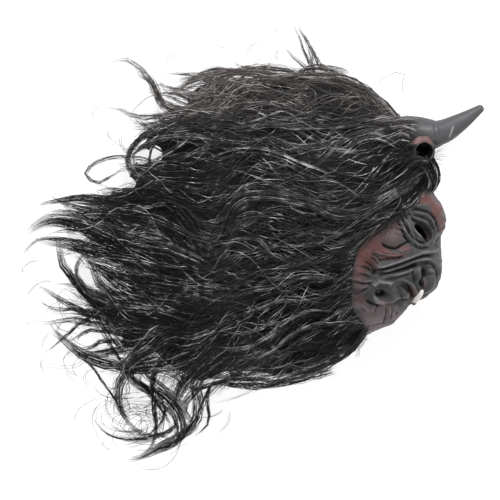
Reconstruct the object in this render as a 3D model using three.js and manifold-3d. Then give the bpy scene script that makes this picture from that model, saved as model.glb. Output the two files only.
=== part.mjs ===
// A full-head latex buffalo mask with horns, two short tusks and long loose hair, lying on its left side.
// Millimetres, +Z up. The face looks along +X, the crown is towards +Y, and the neck opens towards -Y.
// The origin is on the flat spot where the soft left cheek rests on the table.
import * as THREE from "three";
import { mergeVertices } from "three/addons/utils/BufferGeometryUtils.js";
import Module from "manifold-3d";

// Driving dimensions
const MID_Z = 93; // height of the head's mid-plane over the table
const WALL = 2.6; // thickness of the cast latex
const HAIR_ON_SCALP = 8; // thickness of the hair where it hugs the head
const SCALP_GAP = 3.2; // room kept between the hair's solid and the latex
const PIECE_GAP = 0.4; // room kept between the other pieces

// Head sections from the neck rim to the crown: height Y, foremost X, rearmost X, half-width
const HEAD_SECTIONS = [
  [-146, 8, -118, 72],
  [-134, 21, -114, 73],
  [-122, 42.5, -113, 75],
  [-107, 64, -113, 79],
  [-96, 77, -114, 83],
  [-88, 92, -115, 86],
  [-74, 101, -116, 90],
  [-55, 105, -118, 94],
  [-33, 105, -121, 97],
  [-22, 106, -123, 98],
  [-8, 109.5, -124, 98.5],
  [8, 106.5, -125, 98],
  [24, 97, -126, 97],
  [60, 84, -125, 91],
  [96, 62, -118, 79],
  [124, 36, -100, 58],
  [140, 8, -76, 37],
  [146.5, -12, -54, 19],
  [148, -32, -34, 1],
];
const FACE_SQUARENESS = 1.75; // section exponent before the widest point: a wedge-shaped muzzle
const NAPE_SQUARENESS = 2.2; // section exponent behind it
const FACE_DETAIL = 0.5; // how much closer the columns stand on the face than on the nape

// Relief of the right half, mirrored onto the left: centre [X, Y], reach along and across, turn, rise
const LUMPS = [
  { name: "brow roll", at: [93, 6], reach: [20, 9], turn: -52, rise: 6 },
  { name: "eye socket", at: [82, -15], reach: [17, 10], turn: -50, rise: -8 },
  { name: "cheek", at: [46, -20], reach: [26, 17], turn: 12, rise: 8 },
  { name: "upper lip fold", at: [59, -50], reach: [32, 7], turn: 17, rise: 6 },
  { name: "lip crease", at: [57, -59], reach: [28, 5], turn: 17, rise: -5 },
  { name: "lower lip fold", at: [50, -66], reach: [24, 6], turn: 12, rise: 5 },
  { name: "nose wing", at: [90, -62], reach: [12, 17], turn: -8, rise: 7 },
  { name: "nostril", at: [83, -63], reach: [5, 9], turn: 0, rise: -9 },
  { name: "mouth corner", at: [66, -81], reach: [9, 12], turn: 30, rise: -8 },
  { name: "jaw pad", at: [34, -83], reach: [16, 14], turn: 0, rise: 7 },
  { name: "jaw dimple", at: [36, -86], reach: [6, 4.5], turn: 0, rise: -8 },
  { name: "jaw crease", at: [43, -99], reach: [19, 5], turn: 0, rise: -6 },
  { name: "chin roll", at: [42, -110], reach: [18, 9], turn: -25, rise: 5 },
  { name: "cheek hollow", at: [25, -64], reach: [8, 11], turn: 30, rise: -7 },
];
const INSIDE_RISE = 0.6; // share of a lump that the inside of the latex follows
const INSIDE_DENT_SPREAD = 1.9; // how much wider a dent shows on the inside

// Eye holes: centre [X, Y], distance from the mid-plane, half-length and half-height, tilt, way out [X, Z]
const EYE = { at: [84.5, -19.5], middle: 51.5, half: [14.5, 5], tilt: -37, out: [0.7, 0.71] };

// Lines of tapered pieces: rows of X, Y, distance from the mid-plane or height, and radius there
const EAR = [[63, 60, 38, 9], [71, 63, 54, 11], [79, 66, 68, 13.5], [83, 67, 77, 12.8]];
const EAR_CUP = [[71, 63, 54, 7], [79, 66, 68, 10.8], [83, 67, 77, 10.6], [89, 69, 91, 12]];
const HORN = [
  [42, 93, 30, 15],
  [54, 92, 50, 17],
  [73, 91, 65, 17],
  [97, 87, 73, 13.6],
  [119, 97.5, 79, 9.8],
  [141, 112, 84, 4.6],
];
const TUSK = [[72.5, -96.5, 30, 2.7], [76, -92.5, 37, 2.8], [78.7, -89, 41.5, 2.7], [81.6, -83.4, 46, 1.9]];

// Hair that trails from the head, by X: lower Y, upper Y, top Z
const HAIR_SECTIONS = [
  [44, 34, 118, 120],
  [20, -137, 140, 176],
  [-8, -162, 150, 194],
  [-40, -180, 156, 200],
  [-76, -188, 158, 200],
  [-100, -184, 163, 186],
  [-130, -184, 163, 150],
  [-158, -196, 156, 106],
  [-190, -196, 144, 82],
  [-214, -194, 104, 68],
  [-234, -184, 76, 58],
  [-250, -172, 34, 48],
  [-266, -140, 20, 38],
  [-284, -112, 6, 26],
  [-300, -94, -10, 12],
];
const HAIR_BOXINESS = 2.9; // section exponent across the trailing hair
const LOCKS_ACROSS = 5; // rolls of hair side by side over the trailing hair
const LOCK_DEPTH = 0.05; // their depth, as a share of the section
const LOCK_SWAY = 60; // length of trailing hair over which the rolls drift by a radian

// Edge of the hair against the face, from the chin up the cheek to the forelock, in X and Y
const HAIRLINE = [
  [19, -134], [18, -118], [7, -105], [4, -92], [4, -66], [7, -50], [12, -34],
  [20, -20], [32, -11], [46, -4], [56, 4], [66, 13], [84, 28], [97, 26],
];

// Tufts that leave the trailing hair, as rows of X, Y, Z and radius
const TUFTS = [
  [[-26, 140, 96, 9], [-30, 166, 100, 6], [-34, 184, 102, 3.4], [-37, 203, 104, 1.2]],
  [[-160, 128, 28, 14], [-206, 133, 20, 7], [-215, 150, 16, 4.6], [-247, 170, 9, 2.6], [-261, 167, 7, 1.2]],
  [[-170, 108, 28, 14], [-205, 113, 18, 8], [-238, 111, 10, 4], [-260, 117, 6, 1.4]],
  [[-190, 84, 22, 16], [-232, 76, 16, 9], [-258, 64, 10, 4], [-284, 49, 7, 2.4], [-272, 37, 6, 1.4]],
  [[-238, 12, 22, 13], [-268, 18, 16, 8], [-298, 20, 10, 4.4], [-322, 15, 5, 1.4]],
  [[-258, -6, 20, 14], [-296, -8, 13, 8], [-324, -16, 8, 5], [-351, -24, 4, 1.4]],
  [[-262, -44, 20, 13], [-298, -38, 12, 7], [-326, -36, 8, 4], [-352, -47, 4, 1.4]],
  [[-256, -90, 18, 13], [-292, -92, 12, 7], [-318, -86, 7, 3.8], [-341, -77, 4, 1.3]],
  [[-226, -150, 22, 16], [-262, -160, 14, 8], [-290, -152, 9, 5.5], [-325, -120, 4, 1.5]],
  [[-236, -160, 20, 15], [-250, -190, 12, 7], [-246, -218, 9, 5.4], [-228, -237, 7, 4], [-200, -238, 6, 2]],
  [[-172, -176, 22, 16], [-158, -212, 11, 8], [-172, -232, 9, 6], [-200, -254, 6, 4], [-228, -266, 4, 1.4]],
];

const wasm = await Module();
wasm.setup();

// A closed BufferGeometry as a solid that can be joined and cut, turned the right way out.
function solidOf(geometry) {
  const bare = geometry.clone();
  bare.deleteAttribute("normal");
  bare.deleteAttribute("uv");
  const merged = mergeVertices(bare, 1e-4);
  const vertProperties = new Float32Array(merged.attributes.position.array);
  const triVerts = new Uint32Array(merged.index.array);
  const solid = new wasm.Manifold(new wasm.Mesh({ numProp: 3, vertProperties, triVerts }));
  if (solid.volume() > 0) return solid;
  for (let i = 0; i < triVerts.length; i += 3)
    [triVerts[i + 1], triVerts[i + 2]] = [triVerts[i + 2], triVerts[i + 1]];
  return new wasm.Manifold(new wasm.Mesh({ numProp: 3, vertProperties, triVerts }));
}

function geometryOf(solid) {
  const made = solid.getMesh();
  const positions = new Float32Array(made.numVert * 3);
  for (let i = 0; i < made.numVert; i++)
    positions.set(made.vertProperties.subarray(i * made.numProp, i * made.numProp + 3), i * 3);
  const geometry = new THREE.BufferGeometry();
  geometry.setAttribute("position", new THREE.BufferAttribute(positions, 3));
  geometry.setIndex(new THREE.BufferAttribute(new Uint32Array(made.triVerts), 1));
  geometry.computeVertexNormals();
  return geometry;
}

// Closes a stack of equal rings into a skin, with a fan over each end.
function skinOfRings(rings) {
  const sides = rings[0].length;
  const positions = rings.flat().flatMap((p) => [p.x, p.y, p.z]);
  const indices = [];
  for (let r = 0; r + 1 < rings.length; r++)
    for (let s = 0; s < sides; s++) {
      const a = r * sides + s;
      const b = r * sides + ((s + 1) % sides);
      indices.push(a, b, a + sides, b, b + sides, a + sides);
    }
  const addEnd = (ring, first, turned) => {
    const middle = ring.reduce((sum, p) => sum.add(p), new THREE.Vector3()).divideScalar(sides);
    const hub = positions.length / 3;
    positions.push(middle.x, middle.y, middle.z);
    for (let s = 0; s < sides; s++) {
      const next = first + ((s + 1) % sides);
      indices.push(...(turned ? [hub, next, first + s] : [hub, first + s, next]));
    }
  };
  addEnd(rings[0], 0, true);
  addEnd(rings.at(-1), (rings.length - 1) * sides, false);
  const geometry = new THREE.BufferGeometry();
  geometry.setAttribute("position", new THREE.Float32BufferAttribute(positions, 3));
  geometry.setIndex(indices);
  return geometry;
}

// A smooth row of numbers between the rows of a table, at a share 0 to 1 of its length.
function rowAt(table, share) {
  const place = THREE.MathUtils.clamp(share, 0, 1) * (table.length - 1);
  const i = Math.min(Math.floor(place), table.length - 2);
  const t = place - i;
  const row = (k) => table[THREE.MathUtils.clamp(k, 0, table.length - 1)];
  return row(i).map((_, c) => {
    const [a, b, d, e] = [row(i - 1)[c], row(i)[c], row(i + 1)[c], row(i + 2)[c]];
    return b + 0.5 * t * (d - a + t * (2 * a - 5 * b + 4 * d - e + t * (3 * (b - d) + e - a)));
  });
}

// A tube along a smooth line of X, Y, Z and radius rows, grown by a clearance, with rounded ends.
function taperedTube(line, { sides, steps, grow = 0 }) {
  const curve = new THREE.CatmullRomCurve3(line.map(([x, y, z]) => new THREE.Vector3(x, y, z)));
  const frames = curve.computeFrenetFrames(steps, false);
  const rings = [];
  const addRing = (step, radius, shift) => {
    const centre = curve.getPoint(step / steps).addScaledVector(frames.tangents[step], shift);
    const ring = [];
    for (let s = 0; s < sides; s++) {
      const angle = (2 * Math.PI * s) / sides;
      const spoke = frames.normals[step].clone().multiplyScalar(radius * Math.cos(angle));
      spoke.addScaledVector(frames.binormals[step], radius * Math.sin(angle));
      ring.push(centre.clone().add(spoke));
    }
    rings.push(ring);
  };
  const radiusAt = (step) => rowAt(line, step / steps)[3] + grow;
  addRing(0, 0.6 * radiusAt(0), -0.5 * radiusAt(0));
  for (let step = 0; step <= steps; step++) addRing(step, radiusAt(step), 0);
  addRing(steps, 0.6 * radiusAt(steps), 0.7 * radiusAt(steps));
  return solidOf(skinOfRings(rings));
}

// A line on the right half or its mirror on the left: the distance from the mid-plane turns into a height.
const onSide = (line, side) => line.map(([x, y, out, radius]) => [x, y, MID_Z + side * out, radius]);

// How far the relief lifts the latex at [x, y]. Inside the mask the lumps are softer and the dents wider.
function reliefAt(x, y, inside) {
  let rise = 0;
  for (const lump of LUMPS) {
    const spread = inside && lump.rise < 0 ? INSIDE_DENT_SPREAD : 1;
    const turn = THREE.MathUtils.degToRad(lump.turn);
    const [dx, dy] = [(x - lump.at[0]) / spread, (y - lump.at[1]) / spread];
    const along = (dx * Math.cos(turn) + dy * Math.sin(turn)) / lump.reach[0];
    const across = (-dx * Math.sin(turn) + dy * Math.cos(turn)) / lump.reach[1];
    const share = inside && lump.rise > 0 ? INSIDE_RISE : 1;
    rise += share * lump.rise * Math.exp(-(along * along + across * across));
  }
  return rise;
}

// A point of the bare head: share 0 at the neck rim to 1 at the crown, angle 0 in front to pi at the back.
function barePoint(share, angle) {
  const [y, front, back, half] = rowAt(HEAD_SECTIONS, share);
  const [c, s] = [Math.cos(angle), Math.sin(angle)];
  const power = 2 / (c > 0 ? FACE_SQUARENESS : NAPE_SQUARENESS);
  const x = (front + back) / 2 + ((front - back) / 2) * Math.sign(c) * Math.abs(c) ** power;
  return new THREE.Vector3(x, y, half * Math.sign(s) * Math.abs(s) ** power);
}

// The same point moved outwards by the relief and by an offset, and stopped at the floor, which flattens
// the lower cheek.
function headPoint(share, angle, { offset, relief, floor }) {
  const step = 0.004;
  const here = barePoint(share, angle);
  const up = barePoint(Math.min(share + step, 1), angle).sub(barePoint(Math.max(share - step, 0), angle));
  const round = barePoint(share, angle + step).sub(barePoint(share, angle - step));
  const outwards = new THREE.Vector3().crossVectors(up, round);
  if (share > 0.995) outwards.set(0, 1, 0);
  outwards.normalize();
  here.addScaledVector(outwards, offset + relief * reliefAt(here.x, here.y, offset < 0));
  here.z = Math.max(here.z + MID_Z, floor);
  return here;
}

// The head as one closed body, offset from the outer skin and run on below the neck rim if asked.
function headBody({ offset = 0, relief = 1, floor = 0, rows, columns, below = 0 }) {
  const rings = [];
  for (let r = 0; r <= rows; r++) {
    const ring = [];
    for (let c = 0; c < columns; c++) {
      const turn = (2 * Math.PI * c) / columns - Math.PI;
      const angle = turn - FACE_DETAIL * Math.sin(turn);
      ring.push(headPoint(r / rows, angle, { offset, relief, floor }));
    }
    if (r === 0) {
      for (const p of ring) p.y = HEAD_SECTIONS[0][0];
      if (below) rings.push(ring.map((p) => p.clone().setY(p.y - below)));
    }
    rings.push(ring);
  }
  return solidOf(skinOfRings(rings));
}

const ear = (side, grow = 0) => taperedTube(onSide(EAR, side), { sides: 10, steps: 4, grow });
const earCup = (side) => taperedTube(onSide(EAR_CUP, side), { sides: 10, steps: 4 });
const hornTube = (side, grow = 0) => taperedTube(onSide(HORN, side), { sides: 12, steps: 8, grow });
const tusk = (side, grow = 0) => taperedTube(onSide(TUSK, side), { sides: 8, steps: 4, grow });

// A horn stands on the forehead, so its foot takes the shape of the latex under it.
const horn = (side) => hornTube(side).subtract(hornSeat).subtract(ear(side, PIECE_GAP));

function eyeHole(side) {
  const slit = new THREE.CylinderGeometry(1, 1, 60, 12).rotateX(Math.PI / 2);
  slit.scale(EYE.half[0], EYE.half[1], 1).rotateZ(THREE.MathUtils.degToRad(EYE.tilt));
  const outward = new THREE.Vector3(EYE.out[0], 0, EYE.out[1]).normalize();
  slit.applyQuaternion(new THREE.Quaternion().setFromUnitVectors(new THREE.Vector3(0, 0, 1), outward));
  slit.translate(EYE.at[0], EYE.at[1], EYE.middle);
  if (side < 0) slit.scale(1, 1, -1);
  return solidOf(slit.translate(0, 0, MID_Z));
}

// The cast latex: face, scalp, neck and both ears in one skin, open at the neck and the eyes.
function latexHead() {
  let made = headBody({ rows: 34, columns: 42 });
  for (const side of [1, -1]) made = made.add(ear(side));
  made = made.subtract(headBody({ offset: -WALL, floor: WALL, rows: 16, columns: 24, below: 8 }));
  for (const side of [1, -1])
    made = made.subtract(earCup(side)).subtract(eyeHole(side)).subtract(tusk(side, PIECE_GAP));
  return made;
}

// Hair that trails from the head and lies flat on the table, rolled into locks side by side.
function trailingHair() {
  const stations = 18;
  const points = 24;
  const power = 2 / HAIR_BOXINESS;
  const rings = [];
  for (let i = 0; i <= stations; i++) {
    const [x, low, high, top] = rowAt(HAIR_SECTIONS, i / stations);
    const ring = [];
    for (let p = 0; p <= points; p++) {
      const angle = (Math.PI * p) / points;
      const [c, s] = [Math.cos(angle), Math.abs(Math.sin(angle))];
      const roll = 1 - LOCK_DEPTH * s * (1 + Math.cos(2 * LOCKS_ACROSS * angle + x / LOCK_SWAY));
      const across = ((high - low) / 2) * roll * Math.sign(c) * Math.abs(c) ** power;
      ring.push(new THREE.Vector3(x, (high + low) / 2 + across, top * roll * s ** power));
    }
    rings.push(ring);
  }
  return solidOf(skinOfRings(rings));
}

// The plan of the bare face, pushed through the whole height of the mask.
function faceWindow() {
  const [far, deep] = [300, 600];
  const browY = HAIRLINE.at(-1)[1];
  const outline = [...HAIRLINE, [far, browY], [far, -far], [HAIRLINE[0][0] + far / 8, -far]];
  const shape = new THREE.Shape(outline.map(([x, y]) => new THREE.Vector2(x, y)));
  const prism = new THREE.ExtrudeGeometry(shape, { depth: deep, bevelEnabled: false });
  return solidOf(prism.translate(0, 0, -far));
}

// The hair: a cap that hugs scalp and forehead, the trailing mass and its tufts, cleared of head and neck.
function hair() {
  let made = headBody({ offset: HAIR_ON_SCALP, relief: 0, rows: 13, columns: 20 }).add(trailingHair());
  for (const line of TUFTS) made = made.add(taperedTube(line, { sides: 5, steps: 5 }));
  made = made.subtract(faceWindow());
  made = made.subtract(headBody({ offset: SCALP_GAP, floor: -9, rows: 18, columns: 24, below: 80 }));
  for (const side of [1, -1])
    made = made.subtract(hornTube(side, PIECE_GAP)).subtract(ear(side, PIECE_GAP)).subtract(earCup(side));
  return made;
}

function named(name, solid, color, roughness) {
  const material = new THREE.MeshStandardMaterial({ color, roughness, metalness: 0 });
  const mesh = new THREE.Mesh(geometryOf(solid), material);
  mesh.name = name;
  return mesh;
}

const hornSeat = headBody({ offset: PIECE_GAP, rows: 34, columns: 42 });
const mask = new THREE.Group();
mask.add(named("latex_head", latexHead(), 0x3a2c2c, 0.5));
for (const [word, side] of [["right", 1], ["left", -1]]) {
  mask.add(named(`horn_${word}`, horn(side), 0x5c5b60, 0.55));
  mask.add(named(`tusk_${word}`, tusk(side), 0xe6e0dc, 0.35));
}
mask.add(named("hair", hair(), 0x1a1918, 0.6));

export default mask;
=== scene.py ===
# Full-head latex buffalo mask with horns, tusks and long loose hair, lying on its left side.
# Lengths are in millimetres up to the mesh, and MM turns them into Blender's metres.
import math

import bmesh
import bpy
import numpy as np
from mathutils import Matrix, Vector, noise


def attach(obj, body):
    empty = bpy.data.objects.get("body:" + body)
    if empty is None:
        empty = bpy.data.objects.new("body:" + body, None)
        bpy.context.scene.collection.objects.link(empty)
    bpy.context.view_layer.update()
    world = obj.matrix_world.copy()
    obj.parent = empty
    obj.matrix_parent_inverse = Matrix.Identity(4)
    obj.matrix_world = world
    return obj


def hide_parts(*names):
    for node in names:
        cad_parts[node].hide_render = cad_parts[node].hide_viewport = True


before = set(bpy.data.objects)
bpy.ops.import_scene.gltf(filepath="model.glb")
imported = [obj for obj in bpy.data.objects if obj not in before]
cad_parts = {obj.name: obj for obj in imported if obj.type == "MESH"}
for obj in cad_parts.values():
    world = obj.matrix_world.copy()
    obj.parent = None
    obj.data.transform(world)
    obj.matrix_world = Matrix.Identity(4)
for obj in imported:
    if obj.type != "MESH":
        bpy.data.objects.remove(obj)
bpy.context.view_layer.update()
MM = 0.001

# The studio: a white sweep of table under the mask, and soft light from above the crown.
# The camera looks straight down, far enough away that the horn on the table hides behind the upper one.
VIEW_CENTRE = (-104.5, -38.5)
VIEW_PLANE = 92.0
VIEW_HEIGHT = 3000.0
VIEW_WIDTH = 550.0
PHOTO_SIDE = 500
PIXEL = VIEW_WIDTH / PHOTO_SIDE

eye = bpy.data.cameras.new("camera")
eye.sensor_width = 36.0
eye.lens = eye.sensor_width * VIEW_HEIGHT / VIEW_WIDTH
eye.clip_end = 20.0
camera = bpy.data.objects.new("camera", eye)
camera.location = Vector((*VIEW_CENTRE, VIEW_PLANE + VIEW_HEIGHT)) * MM
bpy.context.collection.objects.link(camera)
bpy.context.scene.camera = camera


def to_photo(x, y, z):
    """The photograph's pixel under a point of the mask."""
    near = VIEW_HEIGHT / (VIEW_HEIGHT - (z - VIEW_PLANE)) / PIXEL
    return PHOTO_SIDE / 2 + (x - VIEW_CENTRE[0]) * near, PHOTO_SIDE / 2 - (y - VIEW_CENTRE[1]) * near


def from_photo(px, py, z):
    """The point at height z that the photograph shows at a pixel."""
    far = (VIEW_HEIGHT - (z - VIEW_PLANE)) / VIEW_HEIGHT * PIXEL
    return VIEW_CENTRE[0] + (px - PHOTO_SIDE / 2) * far, VIEW_CENTRE[1] - (py - PHOTO_SIDE / 2) * far


LAMPS = (
    # name, watts, place, what it points at, side of its square
    ("key_light", 34.0, (0.15, 1.1, 1.4), (-0.1, 0.0, 0.05), 0.5),
    ("fill_light", 6.0, (-1.3, -0.7, 1.3), (-0.1, 0.0, 0.05), 0.9),
    ("face_light", 7.0, (1.4, -0.3, 0.9), (0.05, 0.0, 0.09), 0.5),
)
for name, watts, place, aim, side in LAMPS:
    data = bpy.data.lights.new(name, "AREA")
    data.energy = watts
    data.size = side
    lamp = bpy.data.objects.new(name, data)
    lamp.location = place
    lamp.rotation_euler = (Vector(aim) - Vector(place)).to_track_quat("-Z", "Y").to_euler()
    bpy.context.collection.objects.link(lamp)

WORLD_LIGHT = 0.55
world = bpy.data.worlds.new("studio")
bpy.context.scene.world = world
world.use_nodes = True
world.node_tree.nodes["Background"].inputs["Color"].default_value = (1.0, 1.0, 1.0, 1.0)
world.node_tree.nodes["Background"].inputs["Strength"].default_value = WORLD_LIGHT
bpy.context.scene.view_settings.view_transform = "Standard"

TABLE_HALF = 40
TABLE_DROP = 0.0006
table = bpy.data.meshes.new("table")
corners = [(x * TABLE_HALF, y * TABLE_HALF, 0) for x, y in ((-1, -1), (1, -1), (1, 1), (-1, 1))]
table.from_pydata(corners, [], [(0, 1, 2, 3)])
floor = bpy.data.objects.new("table", table)
floor.location.z = -TABLE_DROP
bpy.context.collection.objects.link(floor)


class Wire:
    """An output of a material's node tree. Arithmetic on wires adds Math nodes."""

    def __init__(self, tree, socket=None):
        self.tree = tree
        self.socket = socket

    def add(self, kind, settings=None, sockets=None, out=0):
        """Adds a node: its settings first, then values or wires for its inputs. Returns an output."""
        node = self.tree.nodes.new(kind)
        for key, value in (settings or {}).items():
            setattr(node, key, value)
        for key, value in (sockets or {}).items():
            if isinstance(value, Wire):
                self.tree.links.new(value.socket, node.inputs[key])
            else:
                node.inputs[key].default_value = value
        return Wire(self.tree, node.outputs[out])

    def math(self, operation, *others):
        values = dict(enumerate((self, *others)))
        return self.add("ShaderNodeMath", {"operation": operation}, values)

    def __add__(self, other):
        return self.math("ADD", other)

    def __sub__(self, other):
        return self.math("SUBTRACT", other)

    def __rsub__(self, other):
        return self.math("MULTIPLY", -1.0).math("ADD", other)

    def __mul__(self, other):
        return self.math("MULTIPLY", other)

    __radd__ = __add__
    __rmul__ = __mul__

    def clamp(self, low=0.0, high=1.0):
        return self.math("MAXIMUM", low).math("MINIMUM", high)

    def step(self, low, high):
        """0 below low, 1 above high, and smooth between them."""
        sockets = {"Value": self, "From Min": low, "From Max": high}
        return self.add("ShaderNodeMapRange", {"interpolation_type": "SMOOTHSTEP"}, sockets)

    def blend(self, first, second):
        """The first colour where this wire is 0, the second where it is 1."""
        return self.add("ShaderNodeMix", {"data_type": "RGBA"}, {0: self, 6: first, 7: second}, out=2)

    def attribute(self, name):
        return self.add("ShaderNodeAttribute", {"attribute_name": name}, out=2)

    def place(self):
        """The piece's own coordinates, in metres."""
        return self.add("ShaderNodeTexCoord", out=3)

    def height(self):
        """How far up the face a point lies, which is the mask's own Y."""
        return self.add("ShaderNodeSeparateXYZ", None, {"Vector": self.place()}, out=1)

    def noise(self, scale, detail=3.0, stretch=(1, 1, 1)):
        """Noise on the piece's own coordinates, in features per metre."""
        place = self.add("ShaderNodeMapping", None, {"Vector": self.place(), "Scale": stretch})
        return self.add("ShaderNodeTexNoise", None, {"Vector": place, "Scale": scale, "Detail": detail})

    def crack_distance(self, scale):
        """Distance to the nearest edge between cells, for fine cracks."""
        sockets = {"Vector": self.place(), "Scale": scale}
        return self.add("ShaderNodeTexVoronoi", {"feature": "DISTANCE_TO_EDGE"}, sockets)


def new_finish(name, constants):
    """A material with a Principled shader, whose constant values are set on it. Returns both."""
    material = bpy.data.materials.new(name)
    material.use_nodes = True
    shader = material.node_tree.nodes["Principled BSDF"]
    for key, value in constants.items():
        shader.inputs[key].default_value = value
    return material, shader, Wire(material.node_tree)


def connect(wires, shader, **links):
    """Links wires to a shader's inputs, named with _ for a space. A height goes through a Bump node."""
    for key, value in links.items():
        if key == "height":
            height, strength, distance = value
            bump = {"Height": height, "Strength": strength, "Distance": distance}
            value = wires.add("ShaderNodeBump", None, bump)
            key = "Normal"
        wires.tree.links.new(value.socket, shader.inputs[key.replace("_", " ")])


sweep, sweep_shader, sweep_wires = new_finish(
    "table_paint", {"Roughness": 0.8, "Emission Color": (1, 1, 1, 1), "Emission Strength": 0.84})
sweep_tone = sweep_wires.noise(3.0).blend((0.23, 0.23, 0.23, 1), (0.25, 0.25, 0.25, 1))
connect(sweep_wires, sweep_shader, Base_Color=sweep_tone)
table.materials.append(sweep)

# The latex head: one skin of cast latex, hollow and open at the neck, with slits for the eyes.
# It is sculpted as an old bull's face: a swollen brow, bagged eyes, folds that run from a hub at the jaw
# hinge, a broad nose and a slack mouth. Grey-black paint is rubbed over red-brown.
# Painted highlights lie along the ridges of the relief, and painted shade lies in its creases.
MID_Z = 93.0
WALL = 2.6
HEAD_SECTIONS = np.array([
    # height Y, foremost X, rearmost X, half-width
    (-146, 8, -118, 72),
    (-134, 21, -114, 73),
    (-122, 42.5, -113, 75),
    (-107, 64, -113, 79),
    (-96, 77, -114, 83),
    (-88, 92, -115, 86),
    (-74, 101, -116, 90),
    (-55, 105, -118, 94),
    (-33, 105, -121, 97),
    (-22, 106, -123, 98),
    (-8, 109.5, -124, 98.5),
    (8, 106.5, -125, 98),
    (24, 97, -126, 97),
    (60, 84, -125, 91),
    (96, 62, -118, 79),
    (124, 36, -100, 58),
    (140, 8, -76, 37),
    (146.5, -12, -54, 19),
    (148, -32, -34, 1),
], float)
FACE_SQUARENESS = 1.75
NAPE_SQUARENESS = 2.2

# Broad lumps and dents of either half: centre X, Y, reach along and across, turn in degrees, rise
LUMPS = [
    (93, 6, 20, 9, -52, 6),  # brow roll
    (82, -15, 17, 10, -50, -8),  # eye socket
    (46, -20, 26, 17, 12, 8),  # cheek
    (59, -50, 32, 7, 17, 6),  # upper lip fold
    (57, -59, 28, 5, 17, -5),  # lip crease
    (50, -66, 24, 6, 12, 5),  # lower lip fold
    (90, -62, 12, 17, -8, 7),  # nose wing
    (83, -63, 5, 9, 0, -9),  # nostril
    (66, -81, 9, 12, 30, -8),  # mouth corner
    (34, -83, 16, 14, 0, 7),  # jaw pad
    (36, -86, 6, 4.5, 0, -8),  # jaw dimple
    (43, -99, 19, 5, 0, -6),  # jaw crease
    (42, -110, 18, 9, -25, 5),  # chin roll
    (25, -64, 8, 11, 30, -7),  # cheek hollow
]


def off_centre(x, y, at_x, at_y, reach, across, turned=0):
    """Squared distance from the centre of an ellipse, which is 1 on its edge."""
    c, s = math.cos(math.radians(turned)), math.sin(math.radians(turned))
    dx, dy = x - at_x, y - at_y
    return ((dx * c + dy * s) / reach) ** 2 + ((dy * c - dx * s) / across) ** 2


def soft_spot(*ellipse):
    """1 at the centre of an ellipse, and fading away past its edge."""
    return np.exp(-off_centre(*ellipse))


def smooth_rows(table, share):
    """Catmull-Rom values between the rows of a table, at shares 0 to 1 of its length."""
    table = np.asarray(table, float)
    place = np.clip(share, 0, 1) * (len(table) - 1)
    i = np.minimum(place.astype(int), len(table) - 2)
    t = (place - i)[..., None]
    a, b = table[np.maximum(i - 1, 0)], table[i]
    c, d = table[i + 1], table[np.minimum(i + 2, len(table) - 1)]
    return b + 0.5 * t * (c - a + t * (2 * a - 5 * b + 4 * c - d + t * (3 * (b - c) + d - a)))


def bare_head(share, angle):
    """Points of the smooth head, from share 0 at the neck to 1 at the crown, and angle 0 in front."""
    y, front, back, half = np.moveaxis(smooth_rows(HEAD_SECTIONS, share), -1, 0)
    c, s = np.cos(angle), np.sin(angle)
    power = 2 / np.where(c > 0, FACE_SQUARENESS, NAPE_SQUARENESS)
    x = (front + back) / 2 + (front - back) / 2 * np.sign(c) * np.abs(c) ** power
    return np.stack([x, y, half * np.sign(s) * np.abs(s) ** power], -1)


def broad_relief(x, y):
    """How far the lumps and dents push the skin out."""
    return sum(height * soft_spot(x, y, *ellipse) for *ellipse, height in LUMPS)


def head_outwards(share, angle):
    """The way out of the smooth head at its points."""
    step = 0.004
    up = bare_head(np.minimum(share + step, 1), angle) - bare_head(np.maximum(share - step, 0), angle)
    round_head = bare_head(share, angle + step) - bare_head(share, angle - step)
    outwards = np.cross(up, round_head)
    outwards[share > 0.995] = (0, 1, 0)
    return outwards / np.linalg.norm(outwards, axis=-1, keepdims=True)


# The grid of the skin is finest over the face, and finer on the right side, which lies upwards
FACE_TURN = 1.9
columns = np.concatenate([
    np.linspace(-np.pi, -FACE_TURN, 18, endpoint=False),
    np.linspace(-FACE_TURN, 0, 86, endpoint=False),
    np.interp(np.linspace(0, 1, 238, endpoint=False), [0, 0.13, 0.88, 1], [0, 0.4, 1.6, FACE_TURN]),
    np.linspace(FACE_TURN, np.pi, 18, endpoint=False),
])
fine = np.linspace(0, 1, 3000)
level = smooth_rows(HEAD_SECTIONS, fine)[:, 0]
rows = np.interp(np.linspace(-146, 30, 226, endpoint=False), level, fine)
rows = np.concatenate([rows, np.linspace(np.interp(30, level, fine), 1, 32)])
HEAD_ROWS = len(rows) - 1
HEAD_COLUMNS = len(columns)
share, angle = np.meshgrid(rows, columns, indexing="ij")
skin = bare_head(share, angle)
skin_normal = head_outwards(share, angle)
skin += skin_normal * broad_relief(skin[..., 0], skin[..., 1])[..., None]
photo_x, photo_y = to_photo(skin[..., 0], skin[..., 1], MID_Z + np.abs(skin[..., 2]))


def along_stroke(points, x, y):
    """How far each pixel lies from a smooth line, and the share of the line passed there."""
    line = smooth_rows(points, np.linspace(0, 1, 5 * len(points)))
    best = np.full(x.shape, 1e9)
    passed = np.zeros_like(x)
    for i, (start, end) in enumerate(zip(line[:-1], line[1:])):
        run = end - start
        t = np.clip(((x - start[0]) * run[0] + (y - start[1]) * run[1]) / max(run @ run, 1e-9), 0, 1)
        away = np.hypot(x - start[0] - t * run[0], y - start[1] - t * run[1])
        nearer = away < best
        best = np.where(nearer, away, best)
        passed = np.where(nearer, (i + t) / (len(line) - 1), passed)
    return best, passed


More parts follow.
